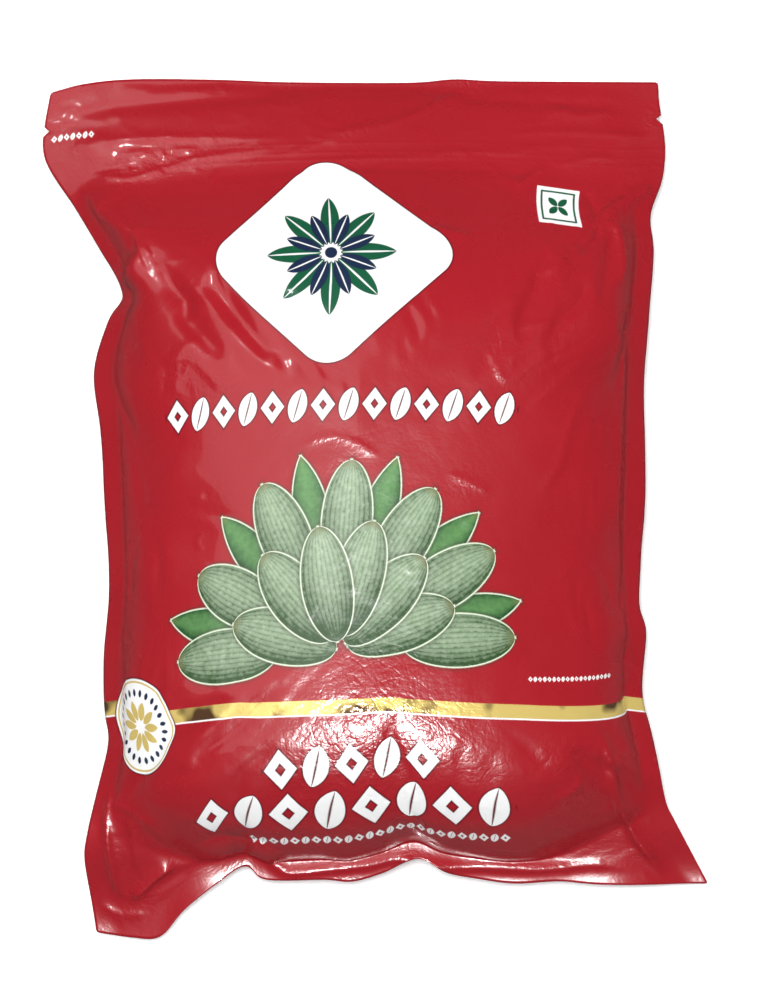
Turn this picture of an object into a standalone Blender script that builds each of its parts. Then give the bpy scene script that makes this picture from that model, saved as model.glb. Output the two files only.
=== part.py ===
# A filled zip pouch of green cardamom pods, lying on its back: two printed film panels sealed
# together round their edges, a press-to-close zip between them, and the pods inside.
# Metres, +Z up, +Y towards the zip end. The origin is under the middle of the pouch, on the
# surface that it lies on.

import math
import random

import bmesh
import bpy
import numpy as np
from mathutils import Matrix, Vector
from mathutils.bvhtree import BVHTree

MM = 0.001

# The flat bag before filling
FILM_WIDTH = 250 * MM
FILM_LENGTH = 350 * MM
FILM_THICK = 0.8 * MM
SIDE_SEAL = 8 * MM
BOTTOM_SEAL = 10 * MM
SEAL_GAP = 0.3 * MM
NOTCH_FROM_TOP = 16 * MM
NOTCH_DEPTH = 3 * MM

# The filled bag. Shares are of the flat film's length, counted from its bottom edge.
SEAM_HEIGHT = 26 * MM          # side seals above the surface, at the bag's middle
FRONT_RISE = 33 * MM           # crest of the front above the side seals
BACK_DROP = 31 * MM            # what the back would sag to, before the surface flattens it
FRONT_POWER = 2.6              # how square the front is across; 2 is an ellipse
BACK_POWER = 3.4
BACK_FILL = 0.7                # below 1, the back fills out sooner than the front
BODY_SEEN = 322 * MM           # length of the filled bag, seen from above
BASE_LENGTH = 0.15             # share in which the filled body narrows to the bottom seal
BASE_POWER = 2.0
BASE_ROUND = 0.62              # power of the base's profile; a half would be an ellipse
SHOULDER_TOP = 0.875           # share where the filled body ends, below the zip
SHOULDER_LENGTH = 0.20
SHOULDER_POWER = 1.25
LEFT_EAR = 30 * MM             # unfilled film above the bottom seal, at its two corners
RIGHT_EAR = 22 * MM
EAR_FROM = 0.50                # share of the half width where the ears start
EAR_ROUND = 1.3                # power of the profile that the body rises with above an ear

# How the line of the seals rises and falls
BASE_DROP = 11 * MM
BASE_REACH = 0.16
ZIP_DROP = 14 * MM
ZIP_REACH = 0.30
LEFT_EAR_DROP = 9 * MM
RIGHT_EAR_DROP = 8 * MM
SIDE_SWAY = 1.5 * MM
SIDE_WAVES = ((37.0, 1.3, 1.0), (61.0, -2.1, 0.6))       # radians along, radians across, share
BOTTOM_RIPPLE = 1.1 * MM
BOTTOM_WAVES = ((9.0, 0.8, 1.0), (17.0, 0.0, 0.5))       # radians across, start, share
BOTTOM_RIPPLE_FROM = 0.02
BOTTOM_RIPPLE_REACH = 0.08

# The zip
ZIP_FROM_TOP = 32 * MM
ZIP_TAPE_HALF = 6 * MM
ZIP_TAPE_THICK = 0.5 * MM
ZIP_HALF_STACK = 2.4 * MM      # film centre to film centre is twice this over the zip
ZIP_LENGTH_HALF = 108 * MM
ZIP_RIB_HALF = 0.45 * MM
ZIP_JAW_IN = 0.85 * MM
ZIP_JAW_OUT = 1.45 * MM
ZIP_TIP_GAP = 0.35 * MM
ZIP_BULGE_HALF = 10.5 * MM     # the films meet again this far from the zip
ZIP_BULGE_RAMP = 3.5 * MM
ZIP_END_ROOM = 6 * MM
ZIP_END_RAMP = 5 * MM

# The pods inside, larger than life so that they still cover the fill
POD_LENGTH = 42 * MM
POD_WIDTH = 20 * MM
POD_SIDES = 6
POD_RINGS = ((-0.22, 0.94), (0.18, 1.0))                 # shares of the length and the width
POD_FLAT = 0.90                # girth between the pod's three ridges
POD_ROOM = 1.2 * MM            # between the pods and the film
POD_CLEARANCE = 0.6 * MM       # the least that is left after the outer ones are pressed in
POD_SINK = 0.42                # share of a pod's width that is sunk into the mass below
POD_SPACING_ALONG = 31 * MM
POD_SPACING_ACROSS = 20 * MM
POD_SCATTER = 0.16             # share of the spacing
POD_SEED = 11
POD_TURN = 0.5                 # radians that a pod may turn either way from the bag's length
POD_STACK = 1.25               # pod widths of room that a pod needs between the films
POD_LEAST_UP = 0.62            # upright share of the film's normal, where a pod still lies
POD_TIP_ROOM = 20 * MM         # film to film, where a pod's tips lie
CORE_LEAST = 36 * MM           # film to film, where the core of the fill starts
CORE_HALF_LEAST = 1.2 * MM
CORE_COLUMNS = 17
CORE_ROWS = 21
LEAST_UPRIGHT = 0.35           # least upright share of a film's normal that the pods allow for

# The outline seen from above, in millimetres from the middle of its box
LEFT_EDGE = (
    (-113.4, -170.8), (-117.0, -141.8), (-115.8, -129.8), (-111.8, -112.6), (-107.0, -92.6),
    (-108.6, -80.0), (-109.0, -55.8), (-106.6, -29.8), (-108.6, 0.2), (-110.2, 32.2),
    (-113.0, 56.2), (-107.0, 76.2), (-101.0, 87.0), (-110.6, 104.2), (-120.2, 120.2),
    (-131.0, 136.2), (-134.2, 145.2), (-133.6, 155.0), (-131.2, 168.2),
)
RIGHT_EDGE = (
    (134.2, -151.0), (119.8, -124.6), (115.4, -115.0), (109.8, -88.6), (106.2, -72.0),
    (107.8, -48.6), (104.8, -37.8), (105.8, -19.8), (107.4, 8.2), (107.0, 44.2),
    (107.8, 66.2), (111.0, 102.2), (109.8, 118.2), (114.6, 132.2), (116.2, 144.2),
    (115.4, 154.2), (113.8, 164.2), (113.4, 172.4),
)
BOTTOM_EDGE = (
    (-113.4, -170.8), (-98.6, -172.8), (-87.4, -172.2), (-77.4, -160.8), (-64.2, -150.0),
    (-52.4, -142.6), (-45.0, -148.4), (-21.0, -148.4), (-9.8, -149.2), (3.0, -145.4),
    (16.6, -139.4), (27.8, -145.4), (41.4, -148.2), (55.8, -150.0), (73.4, -149.2),
    (91.8, -150.6), (134.2, -151.0),
)
TOP_EDGE = (
    (-131.2, 168.2), (-117.0, 171.8), (-97.8, 173.6), (-64.2, 173.4), (-35.4, 172.4),
    (12.6, 172.2), (31.8, 173.6), (51.0, 172.8), (113.4, 172.4),
)

# Grid lines across the film from its middle, and along it from the bottom edge, in millimetres
HALF_COLUMNS = (0, 15, 30, 44, 57, 69, 80, 90, 98, 105, 111, 117, 125)
ROWS = (
    0, 10, 14, 20, 28, 38, 49, 61, 74, 88, 103, 118, 133, 148, 163, 178, 193, 208, 222, 235,
    246, 256, 265, 274, 283, 292, 300, 306, 311, 325, 332.5, 334, 335.5, 342, 350,
)

# How finely curves and the film are sampled while points are placed
CURVE_STEPS = 12
FINE_POINTS = 401
SEARCH_POINTS = 161

PRINT_RED = (0.50, 0.025, 0.045, 1.0)
ZIP_MILK = (0.80, 0.80, 0.78, 1.0)
POD_GREEN = (0.26, 0.36, 0.14, 1.0)


# Curves and fullness

def through(points, fractions):
    """Places at the given fractions of the length of a smooth curve through the points."""
    knots = np.array(points, float) * MM
    before = np.vstack([2 * knots[0] - knots[1], knots, 2 * knots[-1] - knots[-2]])
    steps = np.linspace(0, 1, CURVE_STEPS, endpoint=False)[:, None]
    spans = []
    for a, b, c, d in zip(before, before[1:], before[2:], before[3:]):
        spans.append(0.5 * (2 * b + (c - a) * steps + (2 * a - 5 * b + 4 * c - d) * steps ** 2
                            + (3 * b - a - 3 * c + d) * steps ** 3))
    line = np.vstack(spans + [knots[-1:]])
    run = np.concatenate([[0], np.cumsum(np.linalg.norm(np.diff(line, axis=0), axis=1))])
    return np.column_stack([np.interp(fractions, run / run[-1], line[:, k]) for k in range(2)])


def ease(x):
    """0 below 0, 1 above 1, and smooth between."""
    x = np.clip(x, 0, 1)
    return x * x * (3 - 2 * x)


def fullAlong(across, along):
    """How far the filled body is open, by its place from the bottom edge (0) to the top (1)."""
    ear = ease((np.abs(across) - EAR_FROM) / (1 - EAR_FROM))
    unfilled = BOTTOM_SEAL + ear * np.where(across < 0, LEFT_EAR, RIGHT_EAR)
    base = np.clip((along - unfilled / FILM_LENGTH) / BASE_LENGTH, 0, 1)
    base = (1 - (1 - base) ** BASE_POWER) ** (BASE_ROUND + ear * (EAR_ROUND - BASE_ROUND))
    shoulder = np.clip((SHOULDER_TOP - along) / SHOULDER_LENGTH, 0, 1)
    return base * np.sin(shoulder * math.pi / 2) ** SHOULDER_POWER


def fullAcross(across, power):
    """The same across the bag, from the left seal (-1) to the right one (1)."""
    return np.sqrt(1 - np.clip(np.abs(across), 0, 1) ** power)


def frontRise(across, along):
    """Height of the front film above the seals."""
    return FRONT_RISE * fullAlong(across, along) * fullAcross(across, FRONT_POWER)


def backSag(across, along):
    """How far the back film would sag below the seals."""
    return BACK_DROP * fullAlong(across, along) ** BACK_FILL * fullAcross(across, BACK_POWER)


def seamHeight(across, along):
    """Height of the surface midway between the panels, where the seals lie."""
    nearBase = 1 - ease(along / BASE_REACH)
    nearZip = ease((along - 1 + ZIP_REACH) / ZIP_REACH)
    ears = LEFT_EAR_DROP * np.clip(-across, 0, 1) ** 3 + RIGHT_EAR_DROP * np.clip(across, 0, 1) ** 3
    sway = sum(share * np.sin(turns * along + lean * across) for turns, lean, share in SIDE_WAVES)
    sway = sway * np.abs(across) ** 6 * (1 - nearBase) * ease((1 - along) / ZIP_REACH)
    ripple = sum(share * np.sin(turns * across + start) for turns, start, share in BOTTOM_WAVES)
    ripple = ripple * (1 - ease((along - BOTTOM_RIPPLE_FROM) / BOTTOM_RIPPLE_REACH))
    return (SEAM_HEIGHT - (BASE_DROP + ears) * nearBase - ZIP_DROP * nearZip
            + SIDE_SWAY * sway + BOTTOM_RIPPLE * ripple)


# The film panels

def evened(place, height, shares):
    """Where shares of a film's length fall along a line of places and heights."""
    run = np.concatenate([[0], np.cumsum(np.hypot(np.diff(place), np.diff(height)))])
    return np.interp(shares * run[-1], run, place)


def filmPlaces(across, along):
    """Where points of the flat film, given as shares of its size, lie on the filled bag.

    Gives the place from above as (x, y), and the shares of the bag's own width and length."""
    fine = np.linspace(0, 1, FINE_POINTS)
    side = 2 * fine - 1
    left = through(LEFT_EDGE, along)
    right = through(RIGHT_EDGE, along)
    bottom = through(BOTTOM_EDGE, fine)
    top = through(TOP_EDGE, fine)
    seal = SIDE_SEAL / FILM_WIDTH
    inner = np.clip((across - seal) / (1 - 2 * seal), 0, 1)

    # The humps take up film, so rows draw in towards the middle of the filled body
    drawn = evened(fine * BODY_SEEN, frontRise(0, fine), along) / BODY_SEEN
    places = np.zeros((len(along), len(across), 2))
    widthShare = np.zeros((len(along), len(across)))
    lengthShare = np.zeros_like(widthShare)
    for row, share in enumerate(along):
        whole = np.linalg.norm(right[row] - left[row])
        wide = whole - 2 * SIDE_SEAL
        flange = SIDE_SEAL / whole
        inside = evened(fine * wide, frontRise(side, drawn[row]), inner) / wide
        plan = flange + inside * (1 - 2 * flange)
        plan = np.where(across < seal, across / seal * flange, plan)
        plan = np.where(across > 1 - seal, 1 - (1 - across) / seal * flange, plan)
        widthShare[row] = np.clip(2 * inside - 1, -1, 1)
        openShare = fullAcross(widthShare[row], FRONT_POWER)
        lengthShare[row] = share + (drawn[row] - share) * openShare
        rowLeft = through(LEFT_EDGE, lengthShare[row])
        rowRight = through(RIGHT_EDGE, lengthShare[row])
        low = np.column_stack([np.interp(plan, fine, bottom[:, k]) for k in range(2)])
        high = np.column_stack([np.interp(plan, fine, top[:, k]) for k in range(2)])
        u, v = plan[:, None], lengthShare[row][:, None]
        corners = ((1 - u) * (1 - v) * bottom[0] + u * (1 - v) * bottom[-1]
                   + (1 - u) * v * top[0] + u * v * top[-1])
        places[row] = ((1 - u) * rowLeft + u * rowRight + (1 - v) * low + v * high - corners)
    return places, widthShare, lengthShare


def halfGap(across, along):
    """Half of the distance between the two films where they aren't pushed apart by the pods."""
    closed = (FILM_THICK + SEAL_GAP) / 2
    fromZip = np.abs((1 - along) * FILM_LENGTH - ZIP_FROM_TOP)
    fromEnd = ZIP_LENGTH_HALF + ZIP_END_ROOM - np.abs(across - 0.5) * FILM_WIDTH
    bulge = ease((ZIP_BULGE_HALF - fromZip) / ZIP_BULGE_RAMP) * ease(fromEnd / ZIP_END_RAMP)
    return closed + (ZIP_HALF_STACK - closed) * bulge


def filmGrid():
    """The shares across and along the flat film where the panels have their points."""
    columns = np.array(sorted({sign * c for c in HALF_COLUMNS for sign in (-1, 1)})) * MM
    return columns / FILM_WIDTH + 0.5, np.array(ROWS) * MM / FILM_LENGTH


def filmSurface(side, across, along):
    """Points on the middle of one film's thickness. side is 1 for the front and -1 for the back."""
    places, widthShare, lengthShare = filmPlaces(across, along)
    height = seamHeight(widthShare, lengthShare) + side * halfGap(across[None, :], along[:, None])
    if side > 0:
        height = height + frontRise(widthShare, lengthShare)
    else:
        height = np.maximum(height - backSag(widthShare, lengthShare), FILM_THICK / 2)
    return np.dstack([places, height])


def gridNormals(points):
    """Unit normals of a grid of points, upwards."""
    normals = np.cross(np.gradient(points, axis=1), np.gradient(points, axis=0))
    return normals / np.linalg.norm(normals, axis=2, keepdims=True)


def cutNotches(points, along):
    """Draws the edge in at the tear notches, one on each side."""
    row = int(np.argmin(np.abs(along - (1 - NOTCH_FROM_TOP / FILM_LENGTH))))
    inward = points[row, 1] - points[row, 0]
    points[row, 0] += inward / np.linalg.norm(inward) * NOTCH_DEPTH
    inward = points[row, -2] - points[row, -1]
    points[row, -1] += inward / np.linalg.norm(inward) * NOTCH_DEPTH


def closedSheet(upper, lower, kept=None):
    """Vertices and triangles of the solid between two grids of points, or its kept cells."""
    rows, columns = upper.shape[:2]
    under = rows * columns
    top = []
    for r, c in np.ndindex(rows - 1, columns - 1):
        if kept is None or kept[r, c]:
            a = r * columns + c
            b, d, e = a + 1, a + columns, a + columns + 1
            top += [(a, b, e), (a, e, d)]
    sides = {side for a, b, c in top for side in ((a, b), (b, c), (c, a))}
    rim = sorted((a, b) for a, b in sides if (b, a) not in sides)
    bottom = [(under + c, under + b, under + a) for a, b, c in top]
    walls = [(b, a, under + a) for a, b in rim] + [(b, under + a, under + b) for a, b in rim]
    used, triangles = np.unique(np.array(top + bottom + walls), return_inverse=True)
    vertices = np.vstack([upper.reshape(-1, 3), lower.reshape(-1, 3)])[used]
    return vertices, triangles.reshape(-1, 3).tolist()


def addObject(name, vertices, faces, material, smooth=True):
    """One object of the given mesh, with its material."""
    mesh = bpy.data.meshes.new(name)
    mesh.from_pydata([tuple(v) for v in vertices], [], faces)
    mesh.materials.append(material)
    if smooth:
        mesh.shade_smooth()
    made = bpy.data.objects.new(name, mesh)
    bpy.context.scene.collection.objects.link(made)
    return made


def filmPanel(name, side, material):
    """One film as a solid of its own thickness."""
    across, along = filmGrid()
    middle = filmSurface(side, across, along)
    normals = gridNormals(middle)
    cutNotches(middle, along)
    return addObject(name, *closedSheet(middle + normals * FILM_THICK / 2,
                                        middle - normals * FILM_THICK / 2), material)


# The zip

def zipStrip(name, profile, material):
    """Sweeps a closed profile of (along the bag, towards the front) places across the bag."""
    across, along = filmGrid()
    keep = np.abs(across - 0.5) * FILM_WIDTH <= ZIP_LENGTH_HALF
    across = across[keep]
    zipRows = np.array([FILM_LENGTH - ZIP_FROM_TOP - ZIP_TAPE_HALF,
                        FILM_LENGTH - ZIP_FROM_TOP + ZIP_TAPE_HALF]) / FILM_LENGTH
    front = filmSurface(1, across, zipRows)
    back = filmSurface(-1, across, zipRows)
    centre = (front + back) / 2
    middle = centre.mean(axis=0)
    upBag = centre[1] - centre[0]
    upBag /= np.linalg.norm(upBag, axis=1, keepdims=True)
    outWay = (front - back).mean(axis=0)
    outWay /= np.linalg.norm(outWay, axis=1, keepdims=True)
    rings = np.array([[m + u * a + w * b for a, b in profile]
                      for m, u, w in zip(middle, upBag, outWay)])
    count = len(profile)
    faces = []
    for r in range(len(rings) - 1):
        for k in range(count):
            n = (k + 1) % count
            faces.append((r * count + k, r * count + n, (r + 1) * count + n, (r + 1) * count + k))
    faces.append(tuple(reversed(range(count))))
    faces.append(tuple((len(rings) - 1) * count + k for k in range(count)))
    return addObject(name, rings.reshape(-1, 3), faces, material, smooth=False)


def zipProfiles():
    """The rib strip on the front film and the groove strip on the back film, each closed."""
    outer = ZIP_HALF_STACK - FILM_THICK / 2 - SEAL_GAP
    tape = outer - ZIP_TAPE_THICK
    rib = [(-ZIP_TAPE_HALF, outer), (-ZIP_TAPE_HALF, tape), (-ZIP_RIB_HALF, tape),
           (-ZIP_RIB_HALF, -tape + ZIP_TIP_GAP), (ZIP_RIB_HALF, -tape + ZIP_TIP_GAP),
           (ZIP_RIB_HALF, tape), (ZIP_TAPE_HALF, tape), (ZIP_TAPE_HALF, outer)]
    jaw = tape - ZIP_TIP_GAP
    groove = [(ZIP_TAPE_HALF, -outer), (ZIP_TAPE_HALF, -tape), (ZIP_JAW_OUT, -tape),
              (ZIP_JAW_OUT, jaw), (ZIP_JAW_IN, jaw), (ZIP_JAW_IN, -tape),
              (-ZIP_JAW_IN, -tape), (-ZIP_JAW_IN, jaw), (-ZIP_JAW_OUT, jaw),
              (-ZIP_JAW_OUT, -tape), (-ZIP_TAPE_HALF, -tape), (-ZIP_TAPE_HALF, -outer)]
    return rib, groove


# The pods inside

def fillCore(name, material):
    """The mass of pods below the outer layer: the room inside the film, drawn in all round."""
    across = np.linspace(0, 1, CORE_COLUMNS)
    along = np.linspace(0, 1, CORE_ROWS)
    upper = filmSurface(1, across, along)
    lower = filmSurface(-1, across, along)
    middle = (upper + lower) / 2
    thick = upper[:, :, 2] - lower[:, :, 2]
    room = np.minimum(thick[:-1], thick[1:])
    kept = np.minimum(room[:, :-1], room[:, 1:]) > CORE_LEAST
    inset = FILM_THICK / 2 + POD_ROOM + POD_WIDTH * (1 - POD_SINK)
    half = np.zeros_like(middle)
    half[:, :, 2] = np.maximum(thick / 2 - inset, CORE_HALF_LEAST)
    return addObject(name, *closedSheet(middle + half, middle - half, kept), material, smooth=False)


def podMesh():
    """A green cardamom pod: a spindle of three rounded sides, with a pointed tip and a stalk end."""
    mesh = bpy.data.meshes.new("pod")
    vertices = [(-POD_LENGTH / 2, 0, 0)]
    for place, girth in POD_RINGS:
        for k in range(POD_SIDES):
            angle = 2 * math.pi * k / POD_SIDES
            radius = POD_WIDTH / 2 * girth * (1.0 if k % 2 == 0 else POD_FLAT)
            vertices.append((place * POD_LENGTH, radius * math.sin(angle), radius * math.cos(angle)))
    vertices.append((POD_LENGTH / 2, 0, 0))
    last = len(vertices) - 1
    faces = []
    for k in range(POD_SIDES):
        n = (k + 1) % POD_SIDES
        faces.append((0, 1 + k, 1 + n))
        for r in range(len(POD_RINGS) - 1):
            a = 1 + r * POD_SIDES
            faces.append((a + k, a + POD_SIDES + k, a + POD_SIDES + n, a + n))
        a = 1 + (len(POD_RINGS) - 1) * POD_SIDES
        faces.append((a + k, last, a + n))
    mesh.from_pydata(vertices, [], faces)
    return mesh


def podRotation(outward, turn):
    """Lays a pod against a film facing outward, turned that far from the bag's length."""
    outward = Vector(outward)
    lengthWay = Vector((math.sin(turn), math.cos(turn), 0))
    lengthWay = (lengthWay - outward * outward.dot(lengthWay)).normalized()
    return Matrix((lengthWay, outward.cross(lengthWay), outward)).transposed()


def podPlaces(side, draw):
    """Where the outer pods lie under one film: a place, the outward direction and the rotation."""
    shares = np.linspace(0, 1, SEARCH_POINTS)
    film = filmSurface(side, shares, shares)
    outward = gridNormals(film) * side
    thick = filmSurface(1, shares, shares)[:, :, 2] - filmSurface(-1, shares, shares)[:, :, 2]
    least = FILM_THICK + 2 * POD_ROOM + POD_WIDTH * POD_STACK
    rows = int(FILM_LENGTH / POD_SPACING_ALONG)
    columns = int(FILM_WIDTH / POD_SPACING_ACROSS)
    found = []
    for r, c in np.ndindex(rows, columns):
        x = (c + 0.5 + 0.5 * (r % 2) + draw.uniform(-POD_SCATTER, POD_SCATTER)) / (columns + 0.5)
        y = (r + 0.5 + draw.uniform(-POD_SCATTER, POD_SCATTER)) / rows
        start = draw.uniform(-POD_TURN, POD_TURN)
        i, j = int(y * (len(shares) - 1)), int(min(x, 1) * (len(shares) - 1))
        if thick[i, j] < least or abs(outward[i, j][2]) < POD_LEAST_UP:
            continue
        for turn in (start, start + math.pi / 2):
            rotation = podRotation(outward[i, j], turn)
            reach = np.array(rotation @ Vector((POD_LENGTH / 2, 0, 0)))
            tips = (film[i, j] + reach, film[i, j] - reach)
            spots = [np.argmin(np.hypot(*(film - tip)[:, :, :2].transpose(2, 0, 1))) for tip in tips]
            if min(thick.flat[spot] for spot in spots) > POD_TIP_ROOM:
                found.append((film[i, j], outward[i, j], rotation))
                break
    return found


def keepLargestBody(mesh):
    """Fills the hollows that the joined pods close off, by removing the faces round them."""
    work = bmesh.new()
    work.from_mesh(mesh)
    waiting = set(work.verts)
    bodies = []
    while waiting:
        edge = [waiting.pop()]
        body = set(edge)
        while edge:
            for link in edge.pop().link_edges:
                for vertex in link.verts:
                    if vertex not in body:
                        body.add(vertex)
                        waiting.discard(vertex)
                        edge.append(vertex)
        bodies.append(body)
    bodies.sort(key=len)
    for body in bodies[:-1]:
        bmesh.ops.delete(work, geom=list(body), context="VERTS")
    work.to_mesh(mesh)
    work.free()


def keepBetween(mesh, back, front):
    """Presses in whatever of a mesh comes closer to the films than the clearance."""
    above = BVHTree.FromPolygons(*front)
    below = BVHTree.FromPolygons(*back)
    for vertex in mesh.vertices:
        x, y, height = vertex.co
        for tree, way in ((above, 1), (below, -1)):
            hit, normal, _, _ = tree.ray_cast(Vector((x, y, way)), Vector((0, 0, -way)))
            if hit is None:
                continue
            slope = max(abs(normal.z), LEAST_UPRIGHT)
            limit = hit.z - way * (FILM_THICK + POD_CLEARANCE) / slope
            height = min(height, limit) if way > 0 else max(height, limit)
        vertex.co.z = height


def podFill(name, material, back, front):
    """One body: the core with the outer pods standing out of it."""
    core = fillCore(name, material)
    draw = random.Random(POD_SEED)
    shape = podMesh()
    outer = bpy.data.collections.new("outer pods")
    bpy.context.scene.collection.children.link(outer)
    depth = FILM_THICK / 2 + POD_ROOM + POD_WIDTH / 2
    for side in (1, -1):
        for place, outward, rotation in podPlaces(side, draw):
            pod = bpy.data.objects.new("pod", shape)
            pod.rotation_euler = rotation.to_euler()
            pod.location = Vector(place) - Vector(outward) * depth
            outer.objects.link(pod)
    union = core.modifiers.new("pods", "BOOLEAN")
    union.operation = "UNION"
    union.operand_type = "COLLECTION"
    union.collection = outer
    bpy.context.view_layer.objects.active = core
    core.select_set(True)
    bpy.ops.object.modifier_apply(modifier="pods")
    for pod in list(outer.objects):
        bpy.data.objects.remove(pod)
    bpy.data.collections.remove(outer)
    bpy.data.meshes.remove(shape)
    keepLargestBody(core.data)
    keepBetween(core.data, back, front)
    return core


def shellOf(panel):
    """Vertices and faces of an object's mesh, as a search tree takes them."""
    return [v.co for v in panel.data.vertices], [tuple(f.vertices) for f in panel.data.polygons]


def paint(name, colour, roughness):
    made = bpy.data.materials.new(name)
    made.use_nodes = True
    shader = made.node_tree.nodes["Principled BSDF"]
    shader.inputs["Base Color"].default_value = colour
    shader.inputs["Roughness"].default_value = roughness
    shader.inputs["Metallic"].default_value = 0.0
    return made


def centreOnOrigin():
    """Moves everything so that the middle of its box, seen from above, is over the origin."""
    parts = [part for part in bpy.data.objects if part.type == "MESH"]
    corners = np.array([vertex.co for part in parts for vertex in part.data.vertices])
    middle = (corners.min(axis=0) + corners.max(axis=0)) / 2
    for part in parts:
        part.data.transform(Matrix.Translation((-middle[0], -middle[1], 0)))


def main():
    for old in list(bpy.data.objects):
        bpy.data.objects.remove(old)
    film = paint("printed film", PRINT_RED, 0.28)
    milky = paint("zip plastic", ZIP_MILK, 0.4)
    green = paint("pod skin", POD_GREEN, 0.75)
    front = filmPanel("film_front", 1, film)
    back = filmPanel("film_back", -1, film)
    rib, groove = zipProfiles()
    zipStrip("zip_rib_strip", rib, milky)
    zipStrip("zip_groove_strip", groove, milky)
    podFill("cardamom_pods", green, shellOf(back), shellOf(front))
    centreOnOrigin()


main()
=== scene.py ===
import math

import bpy
import numpy as np
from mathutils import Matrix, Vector
from mathutils.bvhtree import BVHTree


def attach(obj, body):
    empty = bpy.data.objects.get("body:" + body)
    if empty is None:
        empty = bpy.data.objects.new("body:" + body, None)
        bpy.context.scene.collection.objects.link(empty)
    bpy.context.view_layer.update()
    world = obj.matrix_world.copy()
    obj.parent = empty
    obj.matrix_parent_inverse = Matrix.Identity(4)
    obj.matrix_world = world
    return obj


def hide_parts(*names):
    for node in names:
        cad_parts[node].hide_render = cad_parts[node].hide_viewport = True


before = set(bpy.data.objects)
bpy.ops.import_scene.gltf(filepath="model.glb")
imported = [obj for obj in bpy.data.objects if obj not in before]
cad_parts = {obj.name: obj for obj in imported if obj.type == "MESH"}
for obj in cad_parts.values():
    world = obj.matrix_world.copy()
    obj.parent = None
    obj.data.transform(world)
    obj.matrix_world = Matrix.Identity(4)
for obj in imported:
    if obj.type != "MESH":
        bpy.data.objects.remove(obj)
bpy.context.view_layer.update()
mm = 0.001
print("frame loaded:", ", ".join(sorted(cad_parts)))


# The camera looks straight down on the pouch, which lies on its back

view = {
    "aim": (2.0, 4.2),           # mm, the middle of the photograph on the pouch
    "level": 20.0,               # mm above the floor, where the scale is true
    "distance": 1200.0,
    "seenHeight": 400.0,         # mm that the photograph spans from top to bottom
    "sensor": 24.0,
    "pixel": 0.4,                # mm
    "photoSize": (763, 1000),
}


def makeCamera():
    data = bpy.data.cameras.new("photo view")
    data.sensor_fit = "VERTICAL"
    data.sensor_height = view["sensor"]
    data.lens = view["sensor"] * view["distance"] / view["seenHeight"]
    camera = bpy.data.objects.new("photo view", data)
    bpy.context.scene.collection.objects.link(camera)
    x, y = view["aim"]
    camera.location = Vector((x, y, view["level"] + view["distance"])) * mm
    bpy.context.scene.camera = camera


# where the camera sees places in mm, at its own level
def asSeen(places):
    aim = np.array(view["aim"])
    nearer = view["distance"] / (view["distance"] + view["level"] - places[:, 2])
    return aim + (places[:, :2] - aim) * nearer[:, None]


# pixels of the photograph in mm at the camera's level
def fromPhoto(pixels):
    wide, high = view["photoSize"]
    x, y = np.array(pixels, float).T
    aimX, aimY = view["aim"]
    return np.column_stack([aimX + (x - wide / 2) * view["pixel"], aimY + (high / 2 - y) * view["pixel"]])


makeCamera()
print("camera placed")


# The flat film and how the filled pouch holds it, in mm; shares run from its bottom edge up

bag = {
    "width": 250, "length": 350, "sideSeal": 8, "bottomSeal": 10,
    "seam": 26, "rise": 33, "drop": 31,
    "frontPower": 2.6, "backPower": 3.4, "backFill": 0.7,
    "seenLength": 322,
    "baseLength": 0.15, "basePower": 2.0, "baseRound": 0.62,
    "shoulderTop": 0.875, "shoulderLength": 0.20, "shoulderPower": 1.25,
    "leftEar": 30, "rightEar": 22, "earFrom": 0.50, "earRound": 1.3,
    "baseDrop": 11, "baseReach": 0.16, "zipDrop": 14, "zipReach": 0.30,
    "leftEarDrop": 9, "rightEarDrop": 8,
    # each wave: its turns, its turns across the film or its shift, and its share
    "sway": 1.5, "swayWaves": ((37, 1.3, 1.0), (61, -2.1, 0.6)), "swayPower": 6, "earPower": 3,
    "ripple": 1.1, "rippleWaves": ((9, 0.8, 1.0), (17, 0.0, 0.5)), "rippleFade": (0.02, 0.08),
    "zipFromTop": 32, "zipHalf": 25, "zipRamp": 20, "zipEnd": 117, "zipEndRamp": 11,
    "zipFade": (70, 60),         # mm below the zip where its swelling starts to fade, and over how far
    "flangeDrop": 5.5, "flangeReach": 0.25,
    "notchFromTop": 16, "notchDepth": 3, "notchHalf": 1.6, "notchReach": 6,
    "filmGap": 0.25, "zipGap": 3.2, "filmThick": 0.25,
    "sideWaves": 2, "endWaves": 1, "sideBays": 0.16, "endBays": 0.10,
}

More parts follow.
